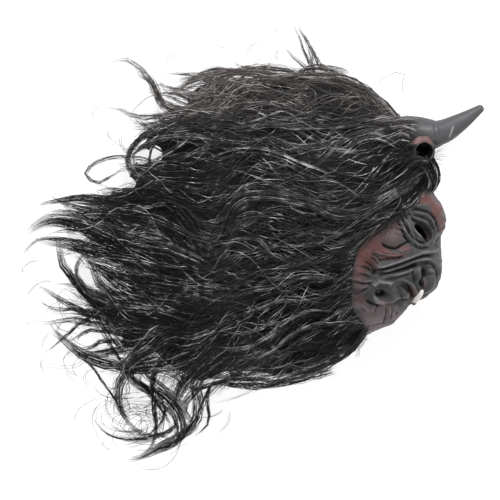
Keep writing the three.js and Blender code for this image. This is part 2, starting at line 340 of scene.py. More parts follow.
# Folds and creases, as strokes over the photograph's pixels: rise in mm, half-width in pixels, points
STROKES = [
    # brow: a light fold under the swelling, dark hollows below it
    (1.6, 1.4, [(408, 204), (418, 205.5), (428, 203.5)]),
    (-2.2, 1.8, [(409, 208), (420, 209.5), (430, 212.5), (436, 221), (438, 231), (441, 237)]),
    (1.3, 1.5, [(412, 212), (422, 213.5), (430, 218), (434, 226)]),
    (-1.2, 1.2, [(411, 215), (422, 216.5), (429, 221), (433, 230)]),
    # upper lid and its band
    (1.8, 1.3, [(409, 216), (417, 219), (426, 223.5), (431, 231), (431.5, 239)]),
    (-1.0, 0.9, [(411, 220), (419, 222), (427, 226), (430, 232)]),
    (1.5, 1.0, [(410, 221), (418, 225), (426, 228), (429.5, 233), (429, 239)]),
    (1.6, 1.5, [(433, 225), (435.5, 233), (434, 242), (436, 250)]),
    (-1.1, 1.2, [(437, 240), (435, 247), (430, 250)]),
    # lower lid, a thick light roll with a crease below it
    (2.6, 1.9, [(407, 219), (411, 228), (417, 235), (425.5, 242)]),
    (-1.6, 1.3, [(405.5, 222), (409, 231), (414, 238), (420, 242), (428, 245)]),
    (1.5, 1.3, [(404, 225), (407, 234), (412, 241), (420, 245.5), (430, 244.5)]),
    (-1.0, 1.0, [(402, 229), (405, 237), (411, 244), (420, 248.5), (431, 247.5)]),
    (1.0, 1.2, [(409, 247), (418, 251), (428, 250)]),
    # crow's feet from the eye's corner
    (-1.8, 0.9, [(405, 203), (408, 210), (411, 217), (416, 222)]),
    (1.3, 0.8, [(403, 205), (406, 212), (410, 221), (415, 231), (421, 238)]),
    (-1.8, 0.9, [(401, 206), (404, 213), (408, 221), (413, 232), (419, 239)]),
    (1.4, 0.8, [(399, 208), (403, 215), (407, 224), (411, 233), (416, 240)]),
    (-1.8, 0.9, [(397, 210), (401, 216), (405, 225), (409, 234), (414, 241)]),
    (1.3, 0.8, [(395, 213), (399, 219), (403, 227), (407, 236)]),
    (-1.5, 0.9, [(392, 215), (397, 220), (402, 229), (406, 238), (411, 243)]),
    (0.9, 0.9, [(389, 219), (395, 223), (400, 230)]),
    # fine lines over the cheek, and the crease under it
    (-1.1, 0.8, [(388, 228), (394, 228.5), (400, 230), (404, 233)]),
    (-1.0, 0.8, [(391, 223), (398, 224.5), (403, 227)]),
    (-0.9, 0.8, [(394, 234), (402, 236), (409, 239)]),
    (-0.6, 0.9, [(384, 224), (391, 221.5), (397, 222)]),
    (-3.0, 1.5, [(382, 243.5), (386, 246.5), (393, 248.5), (398, 248), (403, 245), (410, 241)]),
    (1.2, 1.5, [(382, 251), (391, 253), (400, 252), (408, 248)]),
    # the red hollow behind the cheek
    (-1.0, 1.2, [(371, 253), (377, 257), (381, 261)]),
    (1.2, 1.4, [(376, 252), (384, 255), (394, 256), (403, 254.5)]),
    (-1.5, 1.1, [(379, 261), (388, 259), (397, 258), (405, 256)]),
    (0.9, 1.3, [(368, 258), (374, 262), (378, 268)]),
    # long folds from the jaw hinge to the nose
    (2.6, 1.9, [(377, 268.5), (386, 266), (396, 262.5), (410, 257.5), (424, 252.5), (438, 251.5)]),
    (-2.4, 1.3, [(374, 271), (384, 269), (397, 265.5), (410, 260.5), (423, 256), (432, 256)]),
    (2.3, 1.7, [(382, 272.5), (393, 269.5), (405, 265), (417, 260.5), (428, 258.5)]),
    (-2.2, 1.3, [(379, 275), (391, 272), (404, 268.5), (416, 264)]),
    (2.0, 1.7, [(384, 276), (396, 274), (407, 271), (415, 268)]),
    (-1.8, 1.3, [(381, 279), (392, 279.5), (402, 276.5), (412, 273.5)]),
    # nose: arc over the wing, lobe, cleft and bulb
    (1.7, 1.3, [(419, 261), (427, 259.5), (435, 264), (438.5, 272), (438.5, 282), (435, 291)]),
    (-1.4, 1.1, [(424, 263.5), (431, 264), (435, 270), (435.5, 280)]),
    (2.6, 2.8, [(417.5, 265), (418, 272), (418, 280)]),
    (-4.2, 1.5, [(422.5, 269), (424, 275), (421.5, 281), (421.5, 287)]),
    (-1.8, 1.2, [(424, 276), (428, 274.5), (432, 273.5)]),
    (2.6, 4.5, [(430, 268), (431, 279), (428, 290)]),
    (-1.2, 1.5, [(414, 262), (413, 272), (414.5, 282)]),
    # mouth: the slack lip's arc, a red slot behind it
    (2.2, 1.5, [(400, 279.5), (407, 281.5), (413, 287), (416, 294), (415, 300)]),
    (-3.6, 1.9, [(404, 285), (409, 289), (412, 296), (412.5, 303)]),
    (1.4, 1.4, [(401, 286), (405, 292), (408, 299), (409, 305)]),
    (-1.2, 1.1, [(397, 284), (400, 292), (403, 300)]),
    # hub of folds at the jaw hinge, radiating back to the hair
    (-4.0, 2.8, [(373, 271.5), (375, 273)]),
    (-1.8, 1.0, [(378, 265), (375, 261), (370, 257)]),
    (-1.6, 1.0, [(374, 270), (370, 265), (365, 262)]),
    (-1.5, 1.0, [(372, 272), (367, 268.5), (361, 267), (354, 268)]),
    (1.4, 1.7, [(371, 275), (365, 272.5), (358, 271.5)]),
    (-1.4, 1.0, [(370, 277), (363, 275), (357, 276.5), (351, 277)]),
    (1.7, 1.3, [(373, 279), (366, 281.5), (359, 280.5), (351, 279.5)]),
    (-2.0, 1.0, [(372, 282), (366, 284.5), (359, 283.5), (351, 283)]),
    (1.3, 2.2, [(369, 285), (361, 288), (352, 288)]),
    (-1.6, 1.0, [(371, 284), (366, 289), (359, 293.5), (351, 295)]),
    (1.0, 2.0, [(366, 291), (360, 298), (354, 300)]),
    (-1.0, 0.9, [(367, 293), (363, 299), (358, 304)]),
    (2.0, 1.5, [(375, 276), (380, 281), (388, 281.5), (395, 280)]),
    # jaw pad with its hole, and the crease below it
    (3.2, 4.0, [(372, 287), (376, 282.5), (384, 281.5), (392, 285)]),
    (2.6, 3.6, [(372, 295), (378, 301), (388, 301), (396, 296)]),
    (-3.0, 3.0, [(376, 293.5), (383.5, 292)]),
    (-0.9, 0.8, [(383, 282), (388, 287), (390, 290)]),
    (-2.6, 1.4, [(365, 300), (372, 304), (380, 305), (389, 302.5), (400, 305)]),
    # pinkish jaw with upright wrinkles
    (1.3, 1.8, [(362, 306), (368, 310), (374, 308)]),
    (-1.2, 1.0, [(378, 304), (376, 309), (374, 313)]),
    (-1.4, 1.0, [(386, 304), (386.5, 313), (383, 325)]),
    (1.3, 1.2, [(389, 305), (389.5, 313), (387, 323)]),
    (-1.4, 0.9, [(392, 304), (392.5, 312), (390, 321)]),
    (1.2, 1.1, [(395, 305), (396, 310), (394, 319)]),
    (-2.0, 1.4, [(396, 311), (396.5, 317)]),
    (-1.3, 1.0, [(399, 303), (404, 309), (405, 314)]),
    (1.0, 1.0, [(402, 301), (407, 306), (409, 310)]),
]

# The same over the front of the face, which the photograph hides: distance from the middle plane and
# height Y of each point
FRONT_STROKES = [
    (-2.0, 2.0, [(5, 30), (7, 18), (4, 6)]),
    (2.0, 4.5, [(12, 26), (16, 16), (26, 9), (38, 4)]),
    (-1.4, 1.8, [(0, 6), (12, 3), (24, -4), (36, -10)]),
    (1.4, 3.0, [(4, -1), (12, -4), (24, -9), (34, -16)]),
    (-1.4, 1.6, [(0, -8), (12, -10), (22, -15), (32, -22)]),
    (1.8, 2.8, [(0, -14), (12, -15), (22, -20), (30, -28)]),
    (-3.0, 2.2, [(0, -23), (10, -24), (19, -27), (27, -36)]),
    (1.6, 2.8, [(0, -29), (10, -30), (18, -34)]),
    (-1.4, 1.5, [(0, -36), (8, -36), (16, -41)]),
    (-1.2, 1.2, [(34, -2), (44, -4), (54, 0)]),
    (-1.8, 1.6, [(22, -36), (32, -32), (44, -34), (56, -38)]),
    (1.8, 2.6, [(24, -42), (34, -38), (46, -40)]),
    (3.0, 5.0, [(18, -50), (28, -52), (33, -60), (31, -70)]),
    (-6.5, 3.0, [(14, -63), (19, -60), (24, -62)]),
    (-2.4, 1.5, [(24, -62), (29, -66), (30, -72)]),
    (1.8, 2.0, [(10, -68), (17, -71), (26, -74)]),
    (-2.0, 1.5, [(0, -66), (0, -74), (0, -84)]),
    (2.2, 4.0, [(8, -80), (20, -80), (34, -83), (46, -88)]),
    (-5.0, 2.2, [(0, -88), (14, -87), (28, -90), (42, -95), (56, -97)]),
    (2.6, 3.2, [(0, -94), (14, -93), (22, -95)]),
    (-1.6, 1.6, [(0, -101), (14, -100), (24, -104)]),
    (2.0, 4.5, [(0, -108), (16, -107), (30, -111)]),
    (-2.2, 1.8, [(0, -117), (18, -115), (34, -118), (48, -124)]),
    (1.4, 4.0, [(0, -124), (20, -122), (36, -127)]),
    (-1.4, 1.6, [(0, -132), (20, -130), (38, -134)]),
    (-1.0, 1.1, [(8, -92), (9, -100)]),
    (-1.0, 1.1, [(15, -92), (17, -99)]),
    (-1.0, 1.1, [(9, -78), (10, -85)]),
    (-1.0, 1.1, [(16, -77), (18, -85)]),
]

# How much folds and creases are deepened, so that they show as in the photograph
FOLD_GAIN = 1.3
CREASE_GAIN = 1.7
out = np.abs(skin[..., 2])
frontal = np.clip((62 - out) / 14, 0, 1) * (skin[..., 0] > 20)
on_side = np.clip((out - 22) / 12, 0, 1)
relief = np.zeros_like(photo_x)
for height, width, points in STROKES:
    away, passed = along_stroke(points, photo_x, photo_y)
    fade = np.clip(np.minimum(passed, 1 - passed) * 5 + 0.25, 0, 1)
    fade = fade * np.clip((photo_x - 348) / 20, 0.3, 1)
    bump = np.exp(-((away / (0.9 * width)) ** 2)) if height > 0 else np.exp(-away / (0.55 * width))
    gain = FOLD_GAIN if height > 0 else CREASE_GAIN
    relief += gain * height * fade * bump * on_side
for height, width, points in FRONT_STROKES:
    away, passed = along_stroke(points, out, skin[..., 1])
    fade = np.clip((1 - passed) * 5 + 0.25, 0, 1)
    at_middle = np.clip(out / 16, 0.0 if height > 0 else 0.45, 1)
    at_middle = at_middle * (0.55 + 0.45 * np.clip(out / 45, 0, 1))
    bump = np.exp(-((away / width) ** 2)) if height > 0 else np.exp(-away / (0.6 * width))
    relief += height * fade * frontal * at_middle * bump

# Fine rings of wrinkles round the lower lid, a few pixels from one to the next
WRINKLE_STEP = 2.7
away, _ = along_stroke([(410, 220), (417, 228), (427, 240)], photo_x, photo_y)
below_lid = np.clip(((photo_y - 228) - (photo_x - 420) + 4) / 8, 0, 1)
relief += 0.8 * np.sin(2 * np.pi * away / WRINKLE_STEP) * below_lid * np.exp(-(((away - 11) / 5.5) ** 2))

# Small uneven swellings and wrinkles of the cast, strongest on the face
points = [Vector(p) for p in skin.reshape(-1, 3)]
crumple = [
    noise.turbulence(p * 0.055, 3, False) + 0.6 * noise.noise(p * 0.2) + 0.35 * noise.noise(p * 0.5)
    for p in points
]
crumple = np.reshape(crumple, share.shape)
relief += 0.62 * crumple
under_hair = np.interp(photo_y, [188, 207, 214, 220, 225, 232, 240, 255, 270, 300, 312, 321, 336],
                       [420, 403, 393, 384, 373, 363, 358, 353, 350, 349, 352, 361, 364])
relief *= np.clip((skin[..., 1] - HEAD_SECTIONS[0, 0]) / 6, 0, 1)
relief *= np.clip((photo_x - under_hair) / 4 + 0.9, 0, 1)
skin += skin_normal * relief[..., None]
skin[0, :, 1] = HEAD_SECTIONS[0, 0]


def blurred(values, times):
    """Values on the head's grid, averaged with their neighbours."""
    for _ in range(times):
        values = (values + np.roll(values, 1, 1) + np.roll(values, -1, 1)) / 3
        padded = np.pad(values, ((1, 1), (0, 0)), mode="edge")
        values = (padded[:-2] + padded[1:-1] + padded[2:]) / 3
    return values


standing = blurred(relief, 1) - blurred(relief, 22)
skin[..., 2] = np.maximum(skin[..., 2] + MID_Z, 0)

# Where the red-brown shows through: centre in the photograph's pixels, reach along and across, turn in
# degrees, strength
RED_PATCHES = [
    (424, 198, 15, 6, 10, 1.0),
    (437, 213, 17, 6, 70, 1.0),
    (441, 228, 10, 4, 80, 0.6),
    (390, 222, 12, 7, 10, 0.8),
    (384, 232, 20, 13, -15, 0.75),
    (378, 247, 17, 8, 25, 1.0),
    (366, 257, 13, 10, 60, 1.1),
    (392, 257, 19, 4, -10, 0.9),
    (402, 248, 12, 5, 10, 0.7),
    (360, 274, 10, 14, 0, 0.6),
    (357, 290, 10, 12, 0, 0.5),
    (362, 303, 13, 10, 30, 0.8),
    (376, 316, 22, 15, -35, 1.0),
    (393, 311, 10, 12, 0, 0.85),
    (424, 284, 3, 7, 10, 0.45),
    (412, 295, 4, 10, -15, 1.0),
    (408, 272, 9, 3, -15, 0.35),
    (423, 232, 11, 6, 52, 0.45),
    (394, 235, 14, 10, 0, 0.75),
]
# The same on the front of the face: distance from the middle plane, height Y, reaches, strength
FRONT_RED_PATCHES = [
    (0, 14, 26, 9, 0.7),
    (16, -91, 24, 3, 0.8),
    (20, -62, 6, 5, 0.9),
    (14, -122, 34, 14, 0.6),
    (0, -74, 4, 8, 0.5),
]
red = np.zeros_like(photo_x)
for *ellipse, strength in RED_PATCHES:
    red = np.maximum(red, strength * soft_spot(photo_x, photo_y, *ellipse))
for *ellipse, strength in FRONT_RED_PATCHES:
    red = np.maximum(red, strength * frontal * soft_spot(out, skin[..., 1], *ellipse))


def ring_faces(rings, sides, first=0, flip=False):
    """Quads between closed rings of equal sides, stacked one after another."""
    r, s = np.meshgrid(np.arange(rings - 1), np.arange(sides), indexing="ij")
    a = first + r * sides + s
    b = first + r * sides + (s + 1) % sides
    quads = np.stack([a, a + sides, b + sides, b], -1).reshape(-1, 4)
    return (quads[:, ::-1] if flip else quads).tolist()


def add_piece(name, points, faces, material, values=None):
    """A mesh object at the origin, from points in millimetres, with named values on its points."""
    mesh = bpy.data.meshes.new(name)
    mesh.from_pydata((np.asarray(points) * MM).tolist(), [], faces)
    mesh.validate()
    for key, value in (values or {}).items():
        target = mesh.attributes.new(key, "FLOAT", "POINT").data
        target.foreach_set("value", np.asarray(value, np.float32).ravel())
    mesh.shade_smooth()
    mesh.materials.append(material)
    piece = bpy.data.objects.new(name, mesh)
    bpy.context.collection.objects.link(piece)
    return piece


def face_outwards(piece):
    """Turns all faces of a closed mesh outwards."""
    work = bmesh.new()
    work.from_mesh(piece.data)
    bmesh.ops.recalc_face_normals(work, faces=work.faces)
    work.to_mesh(piece.data)
    work.free()


# Inner wall: every fourth column of the skin, fewer rows, and a little deeper behind the face
INNER_ROWS = 36
INNER_STEP = 4
inner_rows = np.arange(INNER_ROWS + 1) / INNER_ROWS
inner_share, inner_angle = np.meshgrid(inner_rows, columns[::INNER_STEP], indexing="ij")
inner = bare_head(inner_share, inner_angle)
inner_normal = head_outwards(inner_share, inner_angle)
behind_face = soft_spot(inner[..., 0], inner[..., 1], 70, -40, 50, 70)
inner_rise = 0.6 * broad_relief(inner[..., 0], inner[..., 1]) - WALL - 5 * behind_face
inner += inner_normal * inner_rise[..., None]
inner[0, :, 1] = HEAD_SECTIONS[0, 0]
inner[..., 2] = np.maximum(inner[..., 2] + MID_Z, WALL)

skin_points = skin.reshape(-1, 3)
inner_points = inner.reshape(-1, 3)
crown = skin[-1].mean(0)
inner_crown = inner[-1].mean(0)
points = np.vstack([skin_points, crown, inner_points, inner_crown])
first_inner = len(skin_points) + 1
faces = ring_faces(HEAD_ROWS + 1, HEAD_COLUMNS)
INNER_COLUMNS = HEAD_COLUMNS // INNER_STEP
faces += ring_faces(INNER_ROWS + 1, INNER_COLUMNS, first_inner, flip=True)
last_row = HEAD_ROWS * HEAD_COLUMNS
last_inner = first_inner + INNER_ROWS * INNER_COLUMNS
faces += [(last_row + i, first_inner - 1, last_row + (i + 1) % HEAD_COLUMNS) for i in range(HEAD_COLUMNS)]
for i in range(INNER_COLUMNS):
    j = (i + 1) % INNER_COLUMNS
    faces.append((last_inner + j, len(points) - 1, last_inner + i))
    rim = [k % HEAD_COLUMNS for k in range(i * INNER_STEP, (i + 1) * INNER_STEP + 1)]
    faces.append((*rim, first_inner + j, first_inner + i))


def with_inner(values, inside):
    """A value for each point of the head: given on the skin, constant inside."""
    return np.concatenate([values.ravel(), [0.0], np.full(len(inner_points) + 1, inside)])


latex, latex_shader, wires = new_finish("painted_latex", {"Specular IOR Level": 0.36})
height = wires.attribute("standing")
warm = wires.attribute("red")
inside = wires.attribute("inside")
mottle = wires.noise(55.0, 4.0)
blotch = wires.noise(18.0, 2.0)
pores = wires.noise(900.0, 2.0)
cracks = wires.crack_distance(420.0).math("MINIMUM", 0.12)
warmth = (warm * 1.1 + (mottle - 0.5) * 0.7 + (blotch - 0.5) * 0.35).step(0.15, 0.95)
upper = wires.height().step(-0.085, -0.03)
grey_low = mottle.blend((0.012, 0.0125, 0.0135, 1), (0.038, 0.039, 0.042, 1))
grey_high = mottle.blend((0.022, 0.0225, 0.0235, 1), (0.062, 0.062, 0.066, 1))
brown_low = mottle.blend((0.030, 0.0115, 0.011, 1), (0.105, 0.042, 0.040, 1))
brown_high = mottle.blend((0.044, 0.015, 0.014, 1), (0.145, 0.052, 0.048, 1))
mauve = blotch.blend((0.080, 0.058, 0.061, 1), (0.165, 0.125, 0.130, 1))
brown = wires.attribute("jaw").blend(upper.blend(brown_low, brown_high), mauve)
paint = (warmth * 0.92).blend(upper.blend(grey_low, grey_high), brown)
flecks = wires.noise(280.0, 4.0)
# Lighter on raised parts: partly the rubbed paint, partly a painted highlight along the ridges
rubbed_paint_and_highlight = (height + (pores - 0.5) * 0.9 + (flecks - 0.5) * 1.7 + (mottle - 0.5) * 0.7).step(0.3, 2.5)
paint = (rubbed_paint_and_highlight * 0.66).blend(paint, warmth.blend((0.175, 0.168, 0.173, 1), (0.29, 0.155, 0.148, 1)))
# Painted shade: the sunken creases are darkened nearly to black
crease_shade = (height + (mottle - 0.5) * 0.25 + (flecks - 0.5) * 0.5).math("MULTIPLY", -1.0).step(0.1, 1.3)
paint = (crease_shade * 0.95).blend(paint, (0.0035, 0.003, 0.003, 1))
# Painted shade in the eye slits, the jaw's dimple and the nostril: nearly black, and partly metallic so
# that they stay dark
hollow = wires.attribute("hollow")
paint = (hollow * 0.95).blend(paint, mottle.blend((0.008, 0.0065, 0.0065, 1), (0.024, 0.018, 0.017, 1)))
paint = inside.blend(paint, blotch.blend((0.06, 0.045, 0.04, 1), (0.11, 0.085, 0.075, 1)))
gloss = 0.50 + (mottle - 0.5) * 0.25 - rubbed_paint_and_highlight * 0.10 + crease_shade * 0.25
surface = pores * 0.4 + cracks * 3.0 + mottle * 1.2 + flecks * 2.2
connect(wires, latex_shader, Base_Color=paint, Roughness=gloss, Metallic=hollow * 0.8,
        height=(surface, 0.5, 0.0009))

# Ellipses of painted shade, in the photograph's pixels: the eye, the jaw's dimple and the nostril
SHADED_HOLLOWS = [(423.8, 232, 11, 6.4, 51), (379.5, 293, 6, 3.2, -15), (422.5, 281, 7, 1.6, 90)]
hollow_shade = np.zeros_like(red)
for ellipse in SHADED_HOLLOWS:
    spot = 1.0 - off_centre(photo_x, photo_y, *ellipse)
    hollow_shade = np.maximum(hollow_shade, np.clip(spot * 3, 0, 1))
# Pinkish mauve shows along the jaw, and a little on the cheek below the eye, where the lighter spot is
# partly a painted highlight on the cheek pad
on_jaw = np.clip((photo_y - 298) / 8, 0, 1) * np.clip((412 - photo_x) / 8, 0, 1)
on_jaw = np.maximum(on_jaw, 0.75 * soft_spot(photo_x, photo_y, 395, 235, 12, 9))
values = {
    "standing": with_inner(standing, 0.0),
    "red": with_inner(red, 0.0),
    "jaw": with_inner(on_jaw, 0.0),
    "hollow": with_inner(hollow_shade, 0.0),
    "inside": with_inner(np.zeros_like(red), 1.0),
}
head = add_piece("latex_head_skin", points, faces, latex, values)
face_outwards(head)

# Eye slits, cut through the skin along the same slanting holes as the frame's
EYE_AT = (84.5, -19.5, 51.5)
EYE_HALF = (14.5, 5.0)
EYE_TILT = math.radians(-37)
EYE_OUT = Vector((0.7, 0, 0.71))
SLIT_SIDES = 32
SLIT_DEPTH = 30
WALL_DEPTH = 14
tilt = np.array([[math.cos(EYE_TILT), -math.sin(EYE_TILT)], [math.sin(EYE_TILT), math.cos(EYE_TILT)]])
aim = Vector((0, 0, 1)).rotation_difference(EYE_OUT.normalized())
slit_points = []
slit_faces = []
for side in (1, -1):
    first = len(slit_points)
    for depth in (-SLIT_DEPTH, SLIT_DEPTH):
        for i in range(SLIT_SIDES):
            a = 2 * math.pi * i / SLIT_SIDES
            edge = (EYE_HALF[0] * math.cos(a), EYE_HALF[1] * math.sin(a) * (1 + 0.25 * math.cos(a)))
            at = aim @ Vector((*(tilt @ edge), depth)) + Vector(EYE_AT)
            slit_points.append((at.x, at.y, MID_Z + side * at.z))
    last = first + 2 * SLIT_SIDES - 1
    slit_faces += ring_faces(2, SLIT_SIDES, first)
    slit_faces += [list(range(first, first + SLIT_SIDES)), list(range(last, last - SLIT_SIDES, -1))]
slits = add_piece("eye_slits", slit_points, slit_faces, latex)
face_outwards(slits)


def combine(piece, other, operation, solver):
    """Joins another piece to this one, or cuts it out of it, and drops the other."""
    modifier = piece.modifiers.new("combine", "BOOLEAN")
    modifier.operation = operation
    modifier.solver = solver
    modifier.object = other
    made = bpy.data.meshes.new_from_object(piece.evaluated_get(bpy.context.evaluated_depsgraph_get()))
    piece.modifiers.clear()
    old = piece.data
    piece.data = made
    bpy.data.meshes.remove(old)
    bpy.data.objects.remove(other)


combine(head, slits, "DIFFERENCE", "EXACT")

# The walls of the slits get the same painted shade
at = np.empty(len(head.data.vertices) * 3)
head.data.vertices.foreach_get("co", at)
at = at.reshape(-1, 3) / MM - (EYE_AT[0], EYE_AT[1], MID_Z)
dark = head.data.attributes["hollow"]
hollow_shade = np.empty(len(at))
dark.data.foreach_get("value", hollow_shade)
for side in (1, -1):
    level = side * at[:, 2] - EYE_AT[2]
    flat = np.stack([at[:, 0] * EYE_OUT.z - level * EYE_OUT.x, at[:, 1]], -1)
    deep = at[:, 0] * EYE_OUT.x + level * EYE_OUT.z
    near = (((flat @ tilt) / (np.array(EYE_HALF) * (1.12, 1.35))) ** 2).sum(1) < 1
    hollow_shade[near & (np.abs(deep) < WALL_DEPTH)] = 1
dark.data.foreach_set("value", hollow_shade)

# Ears: short thick funnels under the horns, cast in one with the latex of the head. They are pinkish along
# the upper rim, with painted shade inside the cup and on the foot under the hair.
EAR = [(60, 60, 30, 9), (66, 62, 46, 10), (72, 65, 62, 12), (77.5, 68.3, 76, 14), (80.6, 70, 88, 13.4)]
CUP = [(73, 64.5, 60, 5.5), (77, 65.8, 72, 8.8), (80.2, 66.6, 84, 9.3), (81.6, 66.7, 89.8, 9.7)]
EAR_SIDES = 40
EAR_RINGS = 22
CUP_RINGS = 12
EAR_FOOT_Y = 68


def swept(line, sides, rings, round_profile=None):
    """Rings along a smooth line of X, Y, Z and radius rows, and the way ahead at each ring."""
    along = np.linspace(0, 1, rings)
    rows = smooth_rows(line, along)
    ahead = np.gradient(rows[:, :3], axis=0)
    ahead /= np.linalg.norm(ahead, axis=1, keepdims=True)
    side_way = np.cross(ahead, (0.0, 1.0, 0.0))
    side_way /= np.linalg.norm(side_way, axis=1, keepdims=True)
    up_way = np.cross(side_way, ahead)
    around = 2 * np.pi * np.arange(sides) / sides
    radius = np.repeat(rows[:, 3:4], sides, 1)
    if round_profile is not None:
        radius = radius * round_profile(along[:, None], around[None, :])
    around = around[None, :, None]
    spokes = np.cos(around) * side_way[:, None] + np.sin(around) * up_way[:, None]
    return rows[:, None, :3] + radius[..., None] * spokes, ahead


def closed_tube(rings):
    """Points and faces of a tube with a fan over each end."""
    count, sides = rings.shape[:2]
    points = np.vstack([rings.reshape(-1, 3), rings[0].mean(0), rings[-1].mean(0)])
    faces = ring_faces(count, sides)
    last = (count - 1) * sides
    for i in range(sides):
        j = (i + 1) % sides
        faces.append((i, j, len(points) - 2))
        faces.append((last + j, last + i, len(points) - 1))
    return points, faces


ear_paint, ear_shader, wires = new_finish("ear_latex", {"Specular IOR Level": 0.4})
pink = wires.attribute("pink")
cup = wires.attribute("cup")
mottle = wires.noise(90.0, 4.0)
grain = wires.noise(700.0, 3.0)
tone = mottle.blend((0.014, 0.014, 0.015, 1), (0.06, 0.058, 0.062, 1))
pink_tone = mottle.blend((0.05, 0.026, 0.027, 1), (0.21, 0.12, 0.12, 1))
tone = (pink + (mottle - 0.5) * 0.8).step(0.25, 0.8).blend(tone, pink_tone)
# Painted shade: nearly black inside the cup, and on the foot where the hair lies over it
tone = (cup + wires.attribute("foot_hair_shade")).clamp().blend(tone, (0.009, 0.009, 0.0095, 1))
connect(wires, ear_shader, Base_Color=tone, Roughness=0.5 + (mottle - 0.5) * 0.3,
        height=(grain + mottle * 2.0, 0.3, 0.0006))

for word, side in (("right", 1), ("left", -1)):
    outer, _ = swept(EAR, EAR_SIDES, EAR_RINGS,
                     lambda t, a: 1 + 0.05 * np.sin(3 * a + 9 * t) * t + 0.04 * np.sin(7 * a))
    cup, _ = swept(CUP, EAR_SIDES, CUP_RINGS)
    ear_points, ear_faces = closed_tube(np.concatenate([outer, cup[::-1]]))
    height_in_ear = ear_points[:, 1] - EAR_FOOT_Y
    near_rim = np.clip((ear_points[:, 2] - 70) / 12, 0, 1)
    cup_shade_mask = np.zeros(len(ear_points))
    cup_shade_mask[(EAR_RINGS + 1) * EAR_SIDES:] = 1.0
    cup_shade_mask[-2] = 0.0
    ear_points[:, 2] = MID_Z + side * ear_points[:, 2]
    ear_values = {
        "pink": np.clip((height_in_ear - 3) / 5, 0, 1) * near_rim,
        "cup": cup_shade_mask,
        "foot_hair_shade": 0.95 * np.clip((6.5 - height_in_ear) / 3.5, 0, 1),
    }
    ear = add_piece("ear_" + word, ear_points, ear_faces, ear_paint, ear_values)
    face_outwards(ear)
    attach(ear, "root")

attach(head, "root")
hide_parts("latex_head")

# Horns: cast latex painted slate grey, glued to the head above the ears. Each leaves the forehead as a
# swollen shoulder, turns forward at a crease with faint ribs, and tapers to a blunt tip.
HORN = [
    (42, 92, 30, 15),
    (54, 90.3, 50, 16.2),
    (73, 89.3, 65, 16.2),
    (97, 87, 73, 13.6),
    (119, 97.5, 79, 9.8),
    (141, 112, 84, 4.6),
]
HORN_SIDES = 56
HORN_RINGS = 130
HORN_SCRATCH = [(453, 127), (451.5, 132), (449.5, 137)]


def rounded_tip(rings, ahead, radius, count):
    """Rings with a dome of a few more rings over the end."""
    tip = rings[-1].mean(0)
    dome = [tip + ahead[-1] * radius * math.sin(b) + (rings[-1] - tip) * math.cos(b)
            for b in np.linspace(0.2, 1.45, count)]
    return np.concatenate([rings, dome])


def horn_profile(t, a):
    """The crease, faint ribs and unevenness of the cast horn."""
    crease = -0.10 * np.exp(-(((t - 0.585) / 0.013) ** 2)) - 0.05 * np.exp(-(((t - 0.625) / 0.01) ** 2))
    ribs = 0.005 * np.sin(t * 230) * np.exp(-(((t - 0.66) / 0.07) ** 2))
    uneven = 0.02 * np.sin(2 * a + 7 * t) + 0.012 * np.sin(5 * a - 11 * t)
    return 1 + crease * (0.6 + 0.4 * np.sin(a)) + ribs + uneven


horn_paint, horn_shader, wires = new_finish("horn_latex", {"Specular IOR Level": 0.38})
mottle = wires.noise(60.0, 4.0)
speck = wires.noise(620.0, 3.0)
streak = wires.noise(160.0, 3.0, stretch=(0.35, 1.0, 1.0))
tone = (mottle * 0.6 + streak * 0.4).blend((0.030, 0.0297, 0.0325, 1), (0.088, 0.087, 0.094, 1))
# Darker towards the root: partly the root's own darker paint, partly painted shade that dims the light on
# the swollen shoulder
root_paint_and_shade = (wires.attribute("root") * (0.35 + speck * 0.9)).step(0.1, 1.0)
tone = root_paint_and_shade.blend(tone, (0.028, 0.028, 0.029, 1))
tone = wires.attribute("scratch").blend(tone, (0.34, 0.34, 0.34, 1))
connect(wires, horn_shader, Base_Color=tone, Roughness=0.5 + (mottle - 0.5) * 0.3,
        height=(speck + streak * 1.4, 0.35, 0.0006))

for word, side in (("right", 1), ("left", -1)):
    line = [(x, y, MID_Z + side * out, radius) for x, y, out, radius in HORN]
    rings, ahead = swept(line, HORN_SIDES, HORN_RINGS, horn_profile)
    horn_points, horn_faces = closed_tube(rounded_tip(rings, ahead, HORN[-1][3], 8))
    up_z = MID_Z + np.abs(horn_points[:, 2] - MID_Z)
    at_x, at_y = to_photo(horn_points[:, 0], horn_points[:, 1], up_z)
    away, _ = along_stroke(HORN_SCRATCH, at_x, at_y)
    horn_values = {
        "root": np.clip((98 - horn_points[:, 0]) / 36, 0, 1),
        "scratch": 0.8 * np.exp(-((away / 0.6) ** 2)),
    }
    horn = add_piece("horn_" + word + "_cast", horn_points, horn_faces, horn_paint, horn_values)
    face_outwards(horn)
    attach(horn, "root")
    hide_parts("horn_" + word)

# Tusks: small cast teeth painted off-white, set in the lower lip so that they stand up out of it, with
# pinkish gum round the root.
TUSK = [
    (73.5, -96.5, 30, 2.6),
    (76, -92.5, 37, 2.8),
    (78.7, -89, 41.5, 2.7),
    (80.5, -86, 44.5, 2.4),
    (81.6, -83.4, 46, 1.9),
]
TUSK_SIDES = 28
TUSK_RINGS = 40
GUM_Y = -94
tusk_paint, tusk_shader, wires = new_finish(
    "tusk_latex", {"Specular IOR Level": 0.5, "Subsurface Weight": 0.05})
gum = wires.attribute("gum")
stain = wires.noise(260.0, 3.0, stretch=(1, 0.4, 1))
tone = stain.blend((0.60, 0.55, 0.52, 1), (0.82, 0.80, 0.80, 1))
tone = (gum + (stain - 0.5) * 0.6).step(0.35, 0.9).blend(tone, (0.065, 0.036, 0.036, 1))
connect(wires, tusk_shader, Base_Color=tone, Roughness=0.36 + stain * 0.2, height=(stain, 0.2, 0.0004))

